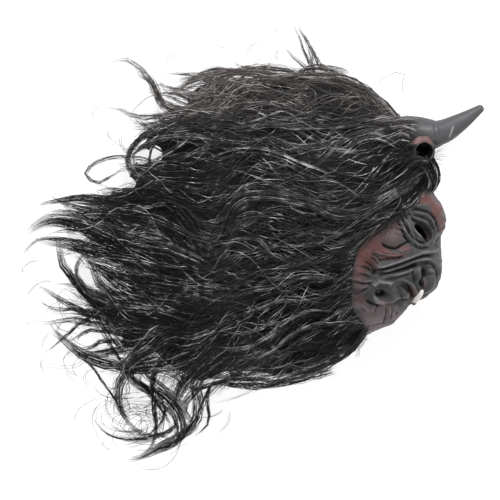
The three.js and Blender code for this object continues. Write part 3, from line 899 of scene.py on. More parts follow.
for word, side in (("right", 1), ("left", -1)):
    line = [(x, y, MID_Z + side * out, radius) for x, y, out, radius in TUSK]
    rings, ahead = swept(line, TUSK_SIDES, TUSK_RINGS, lambda t, a: 1 + 0.03 * np.sin(3 * a + 4 * t))
    tusk_points, tusk_faces = closed_tube(rounded_tip(rings, ahead, TUSK[-1][3], 6))
    gums = np.clip((GUM_Y - tusk_points[:, 1]) / 3, 0, 1)
    tusk = add_piece("tusk_" + word + "_cast", tusk_points, tusk_faces, tusk_paint, {"gum": gums})
    face_outwards(tusk)
    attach(tusk, "root")
    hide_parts("tusk_" + word)

# Hair: long wavy black synthetic hair, sewn to a net over the scalp and glued down along the face's edge.
# It hides the back of the head, spills over the table behind it and ends in loose curling tufts.
# A dark packed mass carries layers of strands, because only the outer strands can be told apart.
HAIR_SECTIONS = np.array([
    # X, low Y, high Y, top Z
    (44, 34, 118, 120),
    (20, -137, 140, 176),
    (-8, -162, 150, 194),
    (-40, -180, 156, 200),
    (-76, -188, 158, 200),
    (-100, -184, 163, 186),
    (-130, -184, 163, 150),
    (-158, -196, 156, 106),
    (-190, -196, 144, 82),
    (-214, -194, 104, 68),
    (-234, -184, 76, 58),
    (-250, -172, 34, 48),
    (-266, -140, 20, 38),
    (-284, -112, 6, 26),
    (-300, -94, -10, 12),
], float)
AT_X, LOW_Y, HIGH_Y, TOP_Z = HAIR_SECTIONS[::-1].T
HAIR_BOXINESS = 2.9
HAIR_AT_EDGE = 2.2
HAIR_ON_SCALP = 7.0
NECK_TUNNEL = 80
SCALP_CLEARANCE = 0.7
HAIRLINE = np.array([
    (19, -134), (18, -118), (7, -105), (4, -92), (4, -66), (7, -50), (12, -34), (20, -20), (32, -11),
    (46, -4), (56, 4), (66, 13), (84, 28), (97, 26),
], float)


def hair_thickness(x, y):
    """How thick the hair lies on the scalp: thin at the face's edge, full a little behind it."""
    away, _ = along_stroke(HAIRLINE, x, y)
    full = np.clip(away / 30, 0, 1)
    by_horn = 3.0 * soft_spot(x, y, 46, 122, 30, 20)
    return HAIR_AT_EDGE + (HAIR_ON_SCALP - HAIR_AT_EDGE - by_horn) * full * full * (3 - 2 * full)


def trailing_height(x, y):
    """Top of the hair that trails behind the head, over each point of the table."""
    low, high, top = (np.interp(x, AT_X, values) for values in (LOW_Y, HIGH_Y, TOP_Z))
    off = np.abs((2 * y - low - high) / np.maximum(high - low, 1))
    height = top * np.maximum(0, 1 - off**HAIR_BOXINESS) ** (1 / HAIR_BOXINESS)
    return np.where((x > AT_X[0] - 1) & (x < AT_X[-1] + 1), height, 0.0)


def cap_half(x, y):
    """How far the hair on the scalp reaches out from the mask's middle plane, 0 outside it."""
    grow = hair_thickness(x, y)
    level = y - grow * np.clip(y / 148, 0, 1)
    front, back, half = (np.interp(level, HEAD_SECTIONS[:, 0], HEAD_SECTIONS[:, i]) for i in (1, 2, 3))
    power = np.where(2 * x > front + back, FACE_SQUARENESS, NAPE_SQUARENESS)
    off = np.abs(2 * x - front - back) / (front - back + 2 * grow)
    reach = (half + grow + broad_relief(x, y)) * np.maximum(0, 1 - off**power) ** (1 / power)
    return np.where((level > -146) & (level < 148), reach, 0.0)


# Gaps through which the table shows: centre in the photograph's pixels, half-width and half-height.
# The first few are cut through the mass too, a little wider.
GAPS_IN_MASS = 5
GAP_MARGIN = 4
GAPS = [
    (142, 156, 6, 4), (155.5, 154.5, 3, 5), (121, 184, 11, 5), (177, 102, 7, 4), (88, 276, 6, 10),
    (107, 263, 9, 4), (169, 148, 4, 3), (184, 148, 3, 3), (107, 297, 4, 3), (128, 286, 6, 5),
    (131, 346, 6, 3), (165, 385, 4, 5), (188, 403, 4, 8), (68, 266, 5, 7), (92, 338, 8, 4),
    (212, 368, 9, 3), (167, 103, 9, 4), (145, 110, 9, 6), (120, 174, 9, 4), (192, 91, 8, 3),
    (170, 421, 5, 6), (146, 378, 5, 4),
]
GRID_STEP = 2.5
grid_x = np.arange(-390, 170, GRID_STEP)
grid_y = np.arange(-310, 260, GRID_STEP)
map_x, map_y = np.meshgrid(grid_x, grid_y, indexing="ij")
half_map = cap_half(map_x, map_y)
top_map = np.maximum(trailing_height(map_x, map_y), np.where(half_map > 0, half_map + MID_Z, 0))


def softened(values, times):
    """Values on a flat grid, averaged with their neighbours."""
    for _ in range(times):
        wide = np.pad(values, 1, mode="edge")
        values = (wide[:-2, 1:-1] + wide[2:, 1:-1] + wide[1:-1, :-2] + wide[1:-1, 2:] + 2 * values) / 6
    return values


top_map = softened(top_map, 4)
slope_x, slope_y = np.gradient(top_map, GRID_STEP)


def between_points(values, u, v):
    """Values between the points of a grid, at u rows and v columns."""
    u, v = (np.clip(w, 0, size - 1.001) for w, size in zip((u, v), values.shape))
    i, j = u.astype(int), v.astype(int)
    u, v = u - i, v - j
    low = values[i, j] * (1 - u) + values[i + 1, j] * u
    high = values[i, j + 1] * (1 - u) + values[i + 1, j + 1] * u
    return low * (1 - v) + high * v


def on_grid(values, x, y):
    """The value of a map of the table at points of it."""
    return between_points(values, (x - grid_x[0]) / GRID_STEP, (y - grid_y[0]) / GRID_STEP)


def grid_mesh(name, rings, material):
    """A closed mesh from stacked rings of points, with a flat fan at each end."""
    points, faces = closed_tube(rings)
    piece = add_piece(name, points, faces, material)
    face_outwards(piece)
    return piece


mass_paint, mass_shader, wires = new_finish("packed_hair", {"Specular IOR Level": 0.12, "Roughness": 0.6})
streak = wires.noise(260.0, 4.0, stretch=(0.12, 1.0, 1.0))
tone = streak.step(0.4, 0.75).blend((0.0015, 0.0015, 0.0015, 1), (0.014, 0.0135, 0.0135, 1))
connect(wires, mass_shader, Base_Color=tone, height=(streak, 0.9, 0.002))

# The trailing part, a little inside the outer strands and with grooves between its locks
TRAIL_INSET = 9
TRAIL_FROM, TRAIL_TO = 38, -246
# Where the dark mass ends on the crown's side, by station X, so that only loose locks reach past it
END_X = (-246, -234, -214, -206, -195, -185, -177, -150)
END_Y = (66, 84, 96, 100, 103, 108, 132, 160)
stations = np.linspace(TRAIL_FROM, TRAIL_TO, 94)
low, high, top = (np.interp(stations, AT_X, values)[:, None] for values in (LOW_Y, HIGH_Y, TOP_Z))
stations = stations[:, None]
pinch = 30 * np.clip((-160 - stations) / 60, 0, 1)
high = np.minimum(high - TRAIL_INSET, np.interp(stations, END_X, END_Y))
low, top = low + TRAIL_INSET + pinch, top - TRAIL_INSET * 0.6
over = np.linspace(0, np.pi, 110)[None, :]
c, s = np.cos(over), np.maximum(np.sin(over), 0)
bulk_y = (low + high) / 2 + (high - low) / 2 * np.sign(c) * np.abs(c) ** (2 / HAIR_BOXINESS)
bulk_z = top * s ** (2 / HAIR_BOXINESS)
ragged = np.clip((-190 - stations) / 46, 0, 1) * (1 - 0.6 * np.exp(-(((bulk_y - 66) / 34) ** 2)))
tufts = 8 + 12 * np.sin(bulk_y / 7) + 9 * np.sin(bulk_y / 3.1 + 1) + 8 * np.sin(bulk_z / 5)
bulk_x = stations + ragged * tufts
sway = 14 * np.sin(bulk_x / 38 + bulk_y / 60)
groove = 0.5 + 0.5 * np.sin((bulk_y + sway) / 5.2 + 2 * np.sin(bulk_x / 55))
bulk_z = bulk_z * (1 - 0.05 * groove) * np.sqrt(np.clip((stations - TRAIL_TO + 1) / 50, 0.01, 1))
bulk = grid_mesh("hair_mass", np.stack([bulk_x, bulk_y, bulk_z], -1), mass_paint)

# The part on the scalp
CAP_ROWS = 91
CAP_COLUMNS = 150
cap_columns = np.linspace(-np.pi, np.pi, CAP_COLUMNS, endpoint=False)
cap_columns = cap_columns - 0.3 * np.sin(cap_columns)
cap_share, cap_turn = np.meshgrid(np.arange(CAP_ROWS) / (CAP_ROWS - 1), cap_columns, indexing="ij")


def head_shell(offset_of):
    """A closed shell round the head, at an offset that depends on X and Y."""
    shell = bare_head(cap_share, cap_turn)
    outwards = head_outwards(cap_share, cap_turn)
    x, y = shell[..., 0], shell[..., 1]
    offset = offset_of(x, y) + broad_relief(x, y)
    shell = shell + outwards * offset[..., None]
    shell[..., 2] += MID_Z
    return shell


cap = head_shell(hair_thickness)
cap[..., 2] = np.maximum(cap[..., 2], 0.5)
combine(bulk, grid_mesh("cap", cap, mass_paint), "UNION", "MANIFOLD")
plan = np.vstack([HAIRLINE, (300, 26), (300, -400), (60, -400), (19, -135)])
prism = np.array([[(x, y, z) for x, y in plan] for z in (-20, 260)])
combine(bulk, grid_mesh("window", prism, mass_paint), "DIFFERENCE", "MANIFOLD")
inside_head = head_shell(lambda x, y: np.full_like(x, SCALP_CLEARANCE))
below = inside_head[:1].copy()
below[..., 1] = HEAD_SECTIONS[0, 0] - NECK_TUNNEL
room = grid_mesh("room", np.concatenate([below, inside_head]), mass_paint)
combine(bulk, room, "DIFFERENCE", "MANIFOLD")
turn = np.linspace(0, 2 * np.pi, 16, endpoint=False)
for gap_x, gap_y, wide, tall in GAPS[:GAPS_IN_MASS]:
    gap_x = gap_x + (wide + GAP_MARGIN) * np.cos(turn)
    gap_y = gap_y - (tall + GAP_MARGIN) * np.sin(turn)
    hole = [np.stack(np.broadcast_arrays(*from_photo(gap_x, gap_y, z), z), -1) for z in (-20.0, 90.0)]
    combine(bulk, grid_mesh("gap", np.array(hole), mass_paint), "DIFFERENCE", "MANIFOLD")
bulk.data.shade_smooth()
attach(bulk, "root")
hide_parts("hair")

# Strands: black synthetic fibre, sewn to the net in small bunches and combed back. Guides are drawn over
# the photograph's pixels from the scalp to the tips, and more are traced between them. Geometry Nodes grow
# a few strands along each guide.

# How the hair lies from root to tip, with the locks below: traced guides follow these lines
FLOW = [
    [(388, 104), (360, 77), (300, 73), (250, 72), (190, 86), (130, 117)],
    [(394, 112), (370, 96), (330, 88), (290, 92), (240, 84), (190, 98), (150, 120)],
    [(398, 122), (350, 110), (300, 100), (250, 100), (200, 110), (150, 135), (128, 152)],
    [(405, 136), (384, 128), (368, 130), (350, 141), (335, 153), (300, 148), (250, 140), (190, 150),
     (140, 172)],
    [(418, 150), (390, 152), (350, 158), (320, 157), (290, 160), (240, 152), (190, 167), (150, 182),
     (118, 186)],
    [(424, 164), (400, 180), (372, 192), (340, 180), (300, 172), (250, 170), (200, 182), (150, 196),
     (100, 199)],
    [(428, 170), (408, 192), (380, 206), (342, 213), (318, 210), (300, 202), (280, 196), (255, 193),
     (240, 196), (230, 207), (222, 225), (213, 245), (203, 259), (190, 270), (160, 282), (110, 292)],
    [(415, 188), (390, 214), (360, 232), (330, 236), (290, 226), (250, 232), (200, 240), (150, 225),
     (100, 213)],
    [(400, 205), (385, 225), (350, 247), (300, 250), (250, 250), (200, 262), (150, 250), (90, 235)],
    [(372, 240), (340, 258), (300, 262), (250, 276), (210, 290), (160, 300), (110, 300)],
    [(360, 252), (335, 268), (300, 282), (250, 296), (205, 322), (160, 340), (120, 360)],
    [(354, 268), (325, 290), (290, 308), (255, 330), (220, 362), (205, 398)],
    [(352, 282), (330, 302), (300, 318), (270, 342), (235, 362), (190, 378), (150, 385)],
    [(352, 300), (330, 315), (310, 335), (285, 355), (255, 374), (225, 384)],
    [(362, 326), (340, 342), (318, 356), (290, 372), (250, 384), (205, 384)],
    [(195, 245), (170, 222), (140, 203), (100, 198), (70, 198)],
    [(200, 262), (165, 243), (130, 228), (90, 220), (55, 216)],
    [(240, 300), (200, 300), (160, 318), (120, 340), (85, 352)],
    [(255, 330), (220, 352), (195, 380), (190, 410), (178, 435)],
]

# Loose locks: how thick the bundle is, then its guide to the tip
LOCKS = [
    (4.0, [(225, 118), (190, 113), (172, 110), (164, 106), (158, 95), (151, 81), (142, 69), (132, 62),
           (121, 60), (108, 63)]),
    (1.5, [(180, 112), (165, 106), (157, 92), (151, 83), (142, 77), (135, 68)]),
    (1.5, [(300, 80), (262, 73), (240, 71), (220, 71), (205, 73), (192, 79), (181, 89), (165, 86),
           (154, 84)]),
    (1.5, [(225, 90), (205, 82), (191, 75), (179, 73), (160, 73)]),
    (2.0, [(240, 86), (218, 82), (203, 84), (190, 88), (179, 90), (168, 87), (158, 83), (150, 81)]),
    (1.5, [(240, 102), (215, 97), (197, 93), (183, 91), (170, 86), (158, 82)]),
    (1.5, [(232, 108), (207, 104), (190, 100), (176, 94), (163, 92), (152, 92)]),
    (1.5, [(228, 112), (203, 108), (184, 104), (171, 98), (160, 93), (150, 88)]),
    (1.5, [(222, 116), (197, 112), (180, 108), (167, 102), (157, 95)]),
    (3.0, [(240, 108), (205, 112), (179, 114), (160, 117), (145, 118), (132, 116), (124, 112), (117, 109),
           (106, 108), (98, 107)]),
    (0.8, [(200, 106), (175, 99), (158, 94), (145, 99), (137, 106), (132, 114), (130, 123), (136, 136)]),
    (2.5, [(230, 116), (200, 117), (173, 119), (158, 123), (142, 124), (128, 119)]),
    (1.5, [(200, 121), (180, 121), (160, 126), (145, 127), (130, 123)]),
    (1.5, [(160, 140), (154, 147), (151, 154), (150, 162), (148, 172)]),
    (1.5, [(180, 160), (165, 154), (155, 148), (146, 147), (137, 151), (130, 160)]),
    (6.0, [(250, 133), (215, 125), (190, 124), (167, 127), (155, 131), (143, 137), (135, 145), (130, 153),
           (128, 163), (131, 173), (138, 182)]),
    (2.5, [(235, 140), (195, 136), (168, 137), (150, 142), (138, 150), (134, 160), (140, 170)]),
    (6.0, [(195, 178), (170, 176), (150, 174), (136, 170), (127, 165)]),
    (6.0, [(205, 184), (178, 182), (156, 179), (140, 175), (129, 169)]),
    (1.4, [(165, 168), (147, 160), (125, 158), (114, 157), (104, 159), (95, 163), (88, 169), (86, 175),
           (91, 180), (99, 183), (109, 178), (120, 171), (131, 168)]),
    (1.5, [(190, 186), (160, 186), (135, 189), (122, 190), (109, 188), (98, 184), (90, 187)]),
    (6.0, [(198, 250), (186, 226), (170, 207), (154, 198), (137, 196), (122, 199), (107, 202), (90, 201),
           (74, 199), (62, 200), (46, 204)]),
    (2.0, [(120, 201), (100, 199), (80, 198), (65, 199), (52, 202), (38, 207)]),
    (2.0, [(125, 222), (105, 217), (88, 212), (75, 207), (62, 202), (50, 197)]),
    (1.5, [(130, 226), (105, 222), (85, 216), (70, 211), (56, 210), (42, 216)]),
    (5.0, [(205, 255), (185, 238), (160, 224), (135, 216), (112, 213), (95, 213), (80, 210), (70, 206),
           (60, 202)]),
    (1.5, [(190, 250), (155, 232), (120, 222), (95, 219), (80, 217), (68, 214)]),
    (5.5, [(210, 266), (180, 254), (150, 247), (125, 241), (100, 231), (82, 222), (66, 218), (52, 219),
           (40, 223), (30, 230), (22, 239)]),
    (4.5, [(170, 256), (135, 250), (105, 240), (85, 229), (66, 223), (50, 223), (38, 227), (27, 234)]),
    (2.0, [(190, 268), (150, 263), (120, 255), (98, 248), (78, 242), (60, 239), (46, 239), (35, 242),
           (28, 249), (22, 261)]),
    (1.5, [(170, 262), (130, 250), (100, 238), (80, 230), (62, 230), (50, 234), (38, 240)]),
    (5.0, [(200, 275), (160, 269), (125, 262), (100, 255), (80, 249), (64, 244), (50, 242), (36, 242)]),
    (3.5, [(170, 268), (130, 260), (104, 252), (84, 249), (62, 246), (48, 243)]),
    (4.0, [(175, 312), (140, 310), (115, 306), (98, 299), (84, 290), (75, 279), (67, 270), (62, 261),
           (60, 250), (58, 241), (57, 232)]),
    (3.0, [(180, 305), (140, 302), (110, 299), (92, 292), (82, 284), (76, 272), (79, 261), (86, 254),
           (92, 246)]),
    (5.0, [(155, 320), (122, 313), (101, 305), (87, 295), (77, 285), (70, 274)]),
    (5.0, [(170, 340), (142, 345), (120, 350), (103, 353), (89, 353), (76, 350)]),
    (3.0, [(155, 297), (132, 292), (117, 284), (105, 275), (96, 265)]),
    (1.5, [(150, 384), (160, 397), (166, 411), (161, 424), (150, 433), (140, 437)]),
    (1.5, [(138, 378), (149, 393), (159, 406), (168, 419), (172, 432)]),
    (4.0, [(190, 302), (150, 304), (122, 299), (104, 288), (95, 274), (87, 259)]),
    (3.5, [(185, 297), (150, 294), (126, 289), (111, 278), (98, 264)]),
    (4.0, [(190, 288), (160, 284), (136, 281), (118, 275), (104, 268)]),
    (3.0, [(180, 280), (150, 275), (132, 272), (119, 266)]),
    (3.0, [(190, 330), (150, 326), (110, 318), (86, 312), (74, 307), (58, 298), (43, 290), (33, 283)]),
    (1.5, [(150, 310), (110, 296), (82, 288), (64, 285), (51, 286)]),
    (3.0, [(180, 330), (130, 322), (98, 312), (74, 309), (58, 310), (48, 307), (41, 300)]),
    (2.0, [(170, 335), (120, 325), (90, 315), (72, 314), (58, 313), (45, 312)]),
    (3.0, [(170, 345), (130, 335), (100, 324), (76, 320), (58, 321), (46, 324), (33, 325)]),
    (6.0, [(200, 352), (165, 362), (135, 366), (106, 362), (87, 356), (74, 348), (63, 339), (55, 332),
           (49, 324), (45, 317)]),
    (1.5, [(130, 318), (100, 316), (80, 322), (66, 335), (55, 344), (43, 353)]),
    (3.0, [(170, 345), (135, 344), (106, 340), (93, 346), (82, 348), (68, 343)]),
    (2.5, [(165, 338), (130, 334), (105, 330), (88, 329), (76, 337), (66, 341)]),
    (1.0, [(150, 350), (115, 352), (88, 360), (80, 366), (74, 373)]),
    (1.5, [(75, 352), (86, 358), (95, 368), (104, 381), (113, 394), (119, 407), (127, 420)]),
    (4.5, [(175, 335), (155, 345), (140, 356), (127, 371), (120, 381), (117, 393), (119, 408), (127, 422),
           (141, 434)]),
    (1.5, [(128, 424), (140, 433), (155, 436), (168, 431), (178, 422)]),
    (1.0, [(200, 385), (170, 395), (145, 404), (122, 411), (106, 414), (90, 412), (75, 407)]),
    (6.0, [(160, 345), (138, 356), (128, 370), (138, 382), (153, 391), (166, 402), (176, 412), (181, 425),
           (178, 437), (165, 446), (150, 453), (138, 458), (126, 461)]),
    (2.0, [(160, 396), (174, 408), (178, 421), (170, 431), (155, 436), (137, 439), (118, 438), (106, 433),
           (98, 425), (93, 414)]),
    (6.0, [(225, 345), (205, 362), (189, 376), (179, 389), (177, 403), (181, 420)]),
    (6.0, [(165, 330), (150, 342), (138, 352), (132, 364), (126, 374)]),
    (4.5, [(235, 350), (212, 364), (198, 376), (196, 390), (199, 402), (198, 416), (190, 429), (177, 437),
           (161, 445), (149, 452), (136, 457), (124, 460)]),
    (1.5, [(210, 385), (196, 420), (176, 440), (160, 448), (146, 456), (130, 459), (117, 459)]),
    (1.0, [(184, 425), (180, 442), (175, 455), (164, 466), (150, 468), (138, 465), (128, 460)]),
    (3.0, [(205, 380), (190, 395), (184, 408), (191, 420), (196, 428)]),
    (1.5, [(215, 380), (206, 395), (209, 411), (209, 422), (203, 431), (192, 438)]),
    (1.0, [(290, 378), (262, 386), (246, 392), (233, 398), (216, 402), (198, 402)]),
    (2.5, [(185, 350), (158, 365), (153, 380), (154, 403), (156, 427), (153, 443), (149, 450),
           (141, 457)]),
    (3.5, [(150, 352), (145, 372), (158, 382), (172, 395), (185, 412), (192, 425)]),
    (2.0, [(340, 80), (322, 78), (313, 73), (312, 60), (310, 49), (305, 38), (299, 28)]),
    (1.5, [(335, 80), (318, 76), (311, 68), (307, 57), (302, 45), (298, 34), (294, 22), (291, 12)]),
    (1.5, [(345, 76), (330, 71), (321, 67), (316, 57), (311, 47), (306, 38), (300, 27), (297, 21)]),
    (1.0, [(320, 78), (313, 68), (311, 55), (312, 42), (313, 30), (313, 19), (312, 8)]),
    (1.5, [(335, 84), (318, 76), (305, 67), (296, 59), (289, 53), (283, 43), (278, 32)]),
    (0.9, [(378, 90), (377, 84), (386, 76), (396, 73), (403, 74), (402, 83), (401, 91), (405, 98),
           (404, 105), (400, 109)]),
    (3.0, [(352, 78), (338, 71), (322, 67), (306, 68), (290, 76)]),
    (4.0, [(310, 82), (296, 74), (282, 70), (268, 68), (254, 68), (238, 70), (225, 74)]),
    (4.0, [(335, 366), (305, 378), (280, 384), (256, 386), (232, 385), (212, 383)]),
]

# No guide lies lower than this, so that its strands stay off the table
TABLE_CLEAR = 1.5


def normed(vectors):
    """Vectors along the last axis, at length 1."""
    return vectors / (np.linalg.norm(vectors, axis=-1, keepdims=True) + 1e-9)


def turned_by(way, angle):
    """Flat directions, turned by an angle."""
    c, s = np.cos(angle), np.sin(angle)
    return np.stack([way[..., 0] * c - way[..., 1] * s, way[..., 0] * s + way[..., 1] * c], -1)


def even_line(points, count):
    """Points spaced evenly along the smooth line through the given ones."""
    fine = smooth_rows(points, np.linspace(0, 1, 12 * len(points)))
    run = np.concatenate([[0], np.cumsum(np.linalg.norm(np.diff(fine, axis=0), axis=1))])
    at = np.linspace(0, run[-1], count)
    return np.stack([np.interp(at, run, fine[:, i]) for i in range(fine.shape[1])], -1)


def at_height(line, z, side):
    """Points of a line at heights z, on the upper side or mirrored to the lower one."""
    x, y = from_photo(line[:, 0], line[:, 1], z)
    return np.stack([x, y, np.maximum(MID_Z + side * (z - MID_Z), TABLE_CLEAR)], -1)


def laid_down(line, lift):
    """Points of a line on top of the hair, or on the table beyond it, and the way out at each."""
    px, py = np.asarray(line)[:, 0], np.asarray(line)[:, 1]
    z = np.full(len(px), VIEW_PLANE)
    for _ in range(3):
        x, y = from_photo(px, py, z)
        z = on_grid(top_map, x, y)
    smooth = z.copy()
    for _ in range(2):
        smooth[1:-1] = (smooth[:-2] + 2 * smooth[1:-1] + smooth[2:]) / 4
    z = np.maximum(smooth, z * 0.9) + lift
    x, y = from_photo(px, py, z)
    out = np.stack([-on_grid(slope_x, x, y), -on_grid(slope_y, x, y), np.ones_like(x)], -1)
    out[:, :2] = np.clip(out[:, :2], -1.5, 1.5)
    return np.stack([x, y, z], -1), normed(out)


field_at = []
field_way = []
for line in FLOW + [points for _, points in LOCKS]:
    line = even_line(line, max(4, int(np.abs(np.diff(line, axis=0)).sum() / 8)))
    field_at.append((line[1:] + line[:-1]) / 2)
    field_way.append(normed(np.diff(line, axis=0)))
field_at, field_way = np.concatenate(field_at), np.concatenate(field_way)

# The face's edge against the hair, as pixel rows and the column at each
FACE_EDGE_Y, FACE_EDGE_X = np.array([
    (188, 440), (188, 428), (200, 416), (207, 405), (214, 396), (220, 387), (225, 376), (232, 366),
    (240, 361), (250, 358), (260, 354.5), (270, 352.5), (300, 351.5), (310, 352.5), (316, 358),
    (321, 363), (330, 365), (336, 366), (345, 360), (358, 350), (368, 332), (378, 300), (386, 260),
]).T
TRACE_STEP = 9.0


def traced(seed, count, box, lengths, sway, reach=20.0):
    """Lines that start at random pixels of the hair and follow the guides, swaying to both sides."""
    rng = np.random.default_rng(seed)
    at = np.stack([rng.uniform(box[0], box[2], 4 * count), rng.uniform(box[1], box[3], 4 * count)], -1)
    x, y = from_photo(at[:, 0], at[:, 1], 120.0)
    edge = np.interp(at[:, 1], FACE_EDGE_Y, FACE_EDGE_X)
    edge = np.where(at[:, 1] < FACE_EDGE_Y[0], 434 - (FACE_EDGE_Y[0] - at[:, 1]) * 0.3, edge)
    behind = at[:, 0] < edge - 7
    at = at[(on_grid(top_map, x, y) > 30) & behind][:count]
    lean = rng.uniform(-sway, sway, len(at))
    phase = rng.uniform(0, 6.3, len(at))
    beat = rng.uniform(0.35, 0.7, len(at))
    length = rng.uniform(*lengths, len(at))
    path = [at]
    for k in range(int(lengths[1] / PIXEL / TRACE_STEP)):
        off = ((at[:, None] - field_at[None]) ** 2).sum(-1)
        weight = np.exp(-off / (2 * reach**2)) + 1e-5 / (1 + off)
        way = normed((weight[..., None] * field_way[None]).sum(1))
        bend = lean * 0.5 + sway * 0.8 * np.sin(phase + beat * k)
        at = at + TRACE_STEP * turned_by(way, bend)
        path.append(at)
    path = np.stack(path, 1)
    lines = []
    for line, long in zip(path, length):
        line = line[: max(4, int(long / PIXEL / TRACE_STEP) + 1)]
        x, y = from_photo(line[:, 0], line[:, 1], 60.0)
        bare = np.flatnonzero(on_grid(top_map, x, y) < 6)
        if len(bare):
            line = line[: bare[0] + 2]
        if len(line) >= 4:
            lines.append(line)
    return lines, rng


# Where the hair shines more or less: centre in the photograph's pixels, reach across and down, change
SHEEN = [
    (250, 84, 120, 16, 0.45),
    (285, 108, 90, 22, 0.3),
    (322, 90, 50, 14, 0.35),
    (203, 86, 24, 12, 0.3),
    (335, 84, 45, 14, 0.3),
    (180, 106, 20, 14, 0.5),
    (110, 225, 45, 22, 0.4),
    (356, 245, 12, 9, -0.9),
    (137, 287, 18, 16, 0.9),
    (100, 305, 18, 14, 0.5),
    (210, 362, 14, 10, 0.6),
    (135, 362, 14, 10, 0.6),
    (287, 236, 22, 13, -0.7),
    (237, 335, 16, 10, -0.5),
    (262, 362, 14, 8, -0.4),
    (412, 158, 18, 9, -0.7),
    (200, 135, 26, 14, 0.4),
    (270, 197, 60, 6, 0.6),
    (226, 230, 8, 30, 0.5),
    (160, 312, 22, 16, 0.4),
    (150, 362, 45, 20, 0.4),
    (150, 425, 60, 30, -0.6),
    (50, 225, 40, 30, -0.3),
    (300, 364, 48, 12, 1.1),
    (390, 130, 30, 14, 0.3),
    (285, 137, 18, 13, -0.8),
    (335, 165, 24, 12, -0.6),
    (312, 190, 18, 12, -0.5),
    (338, 226, 42, 22, -0.8),
    (310, 160, 24, 10, -0.3),
    (210, 210, 18, 12, -0.3),
    (236, 262, 18, 14, -0.7),
    (312, 262, 18, 14, -0.5),
    (342, 300, 28, 28, -0.7),
    (285, 288, 24, 12, -0.5),
    (175, 215, 20, 26, -0.5),
]


class Guides:
    """Guide lines in millimetres, gathered as one mesh of edges with values on its points."""

    def __init__(self):
        self.points, self.edges = [], []
        self.values = {"guide": [], "loose": [], "sheen": [], "out": []}
        self.count = 0

    def add(self, points, outs, loose, gaps=GAPS):
        """Adds a guide, cut off where it enters a gap."""
        px, py = to_photo(points[:, 0], points[:, 1], points[:, 2])
        sheen = np.ones(len(points))
        for *ellipse, more in SHEEN:
            sheen = sheen + more * soft_spot(px, py, *ellipse)
        between = np.linspace(0, len(points) - 1, 4 * len(points))
        px, py = (np.interp(between, np.arange(len(points)), v) for v in (px, py))
        in_gap = np.zeros(len(between), bool)
        for gap in gaps:
            in_gap |= off_centre(px, py, *gap) < 1
        if in_gap.any():
            kept = int(between[in_gap.argmax()])
            if kept < 5:
                return
            points, outs, loose, sheen = points[:kept], outs[:kept], loose[:kept], sheen[:kept]
        first = sum(map(len, self.points))
        self.points.append(points)
        values = (np.full(len(points), self.count), loose, np.clip(sheen, 0.1, 2.5), outs)
        for kept_values, value in zip(self.values.values(), values):
            kept_values.append(value)
        self.edges += [(first + i, first + i + 1) for i in range(len(points) - 1)]
        self.count += 1


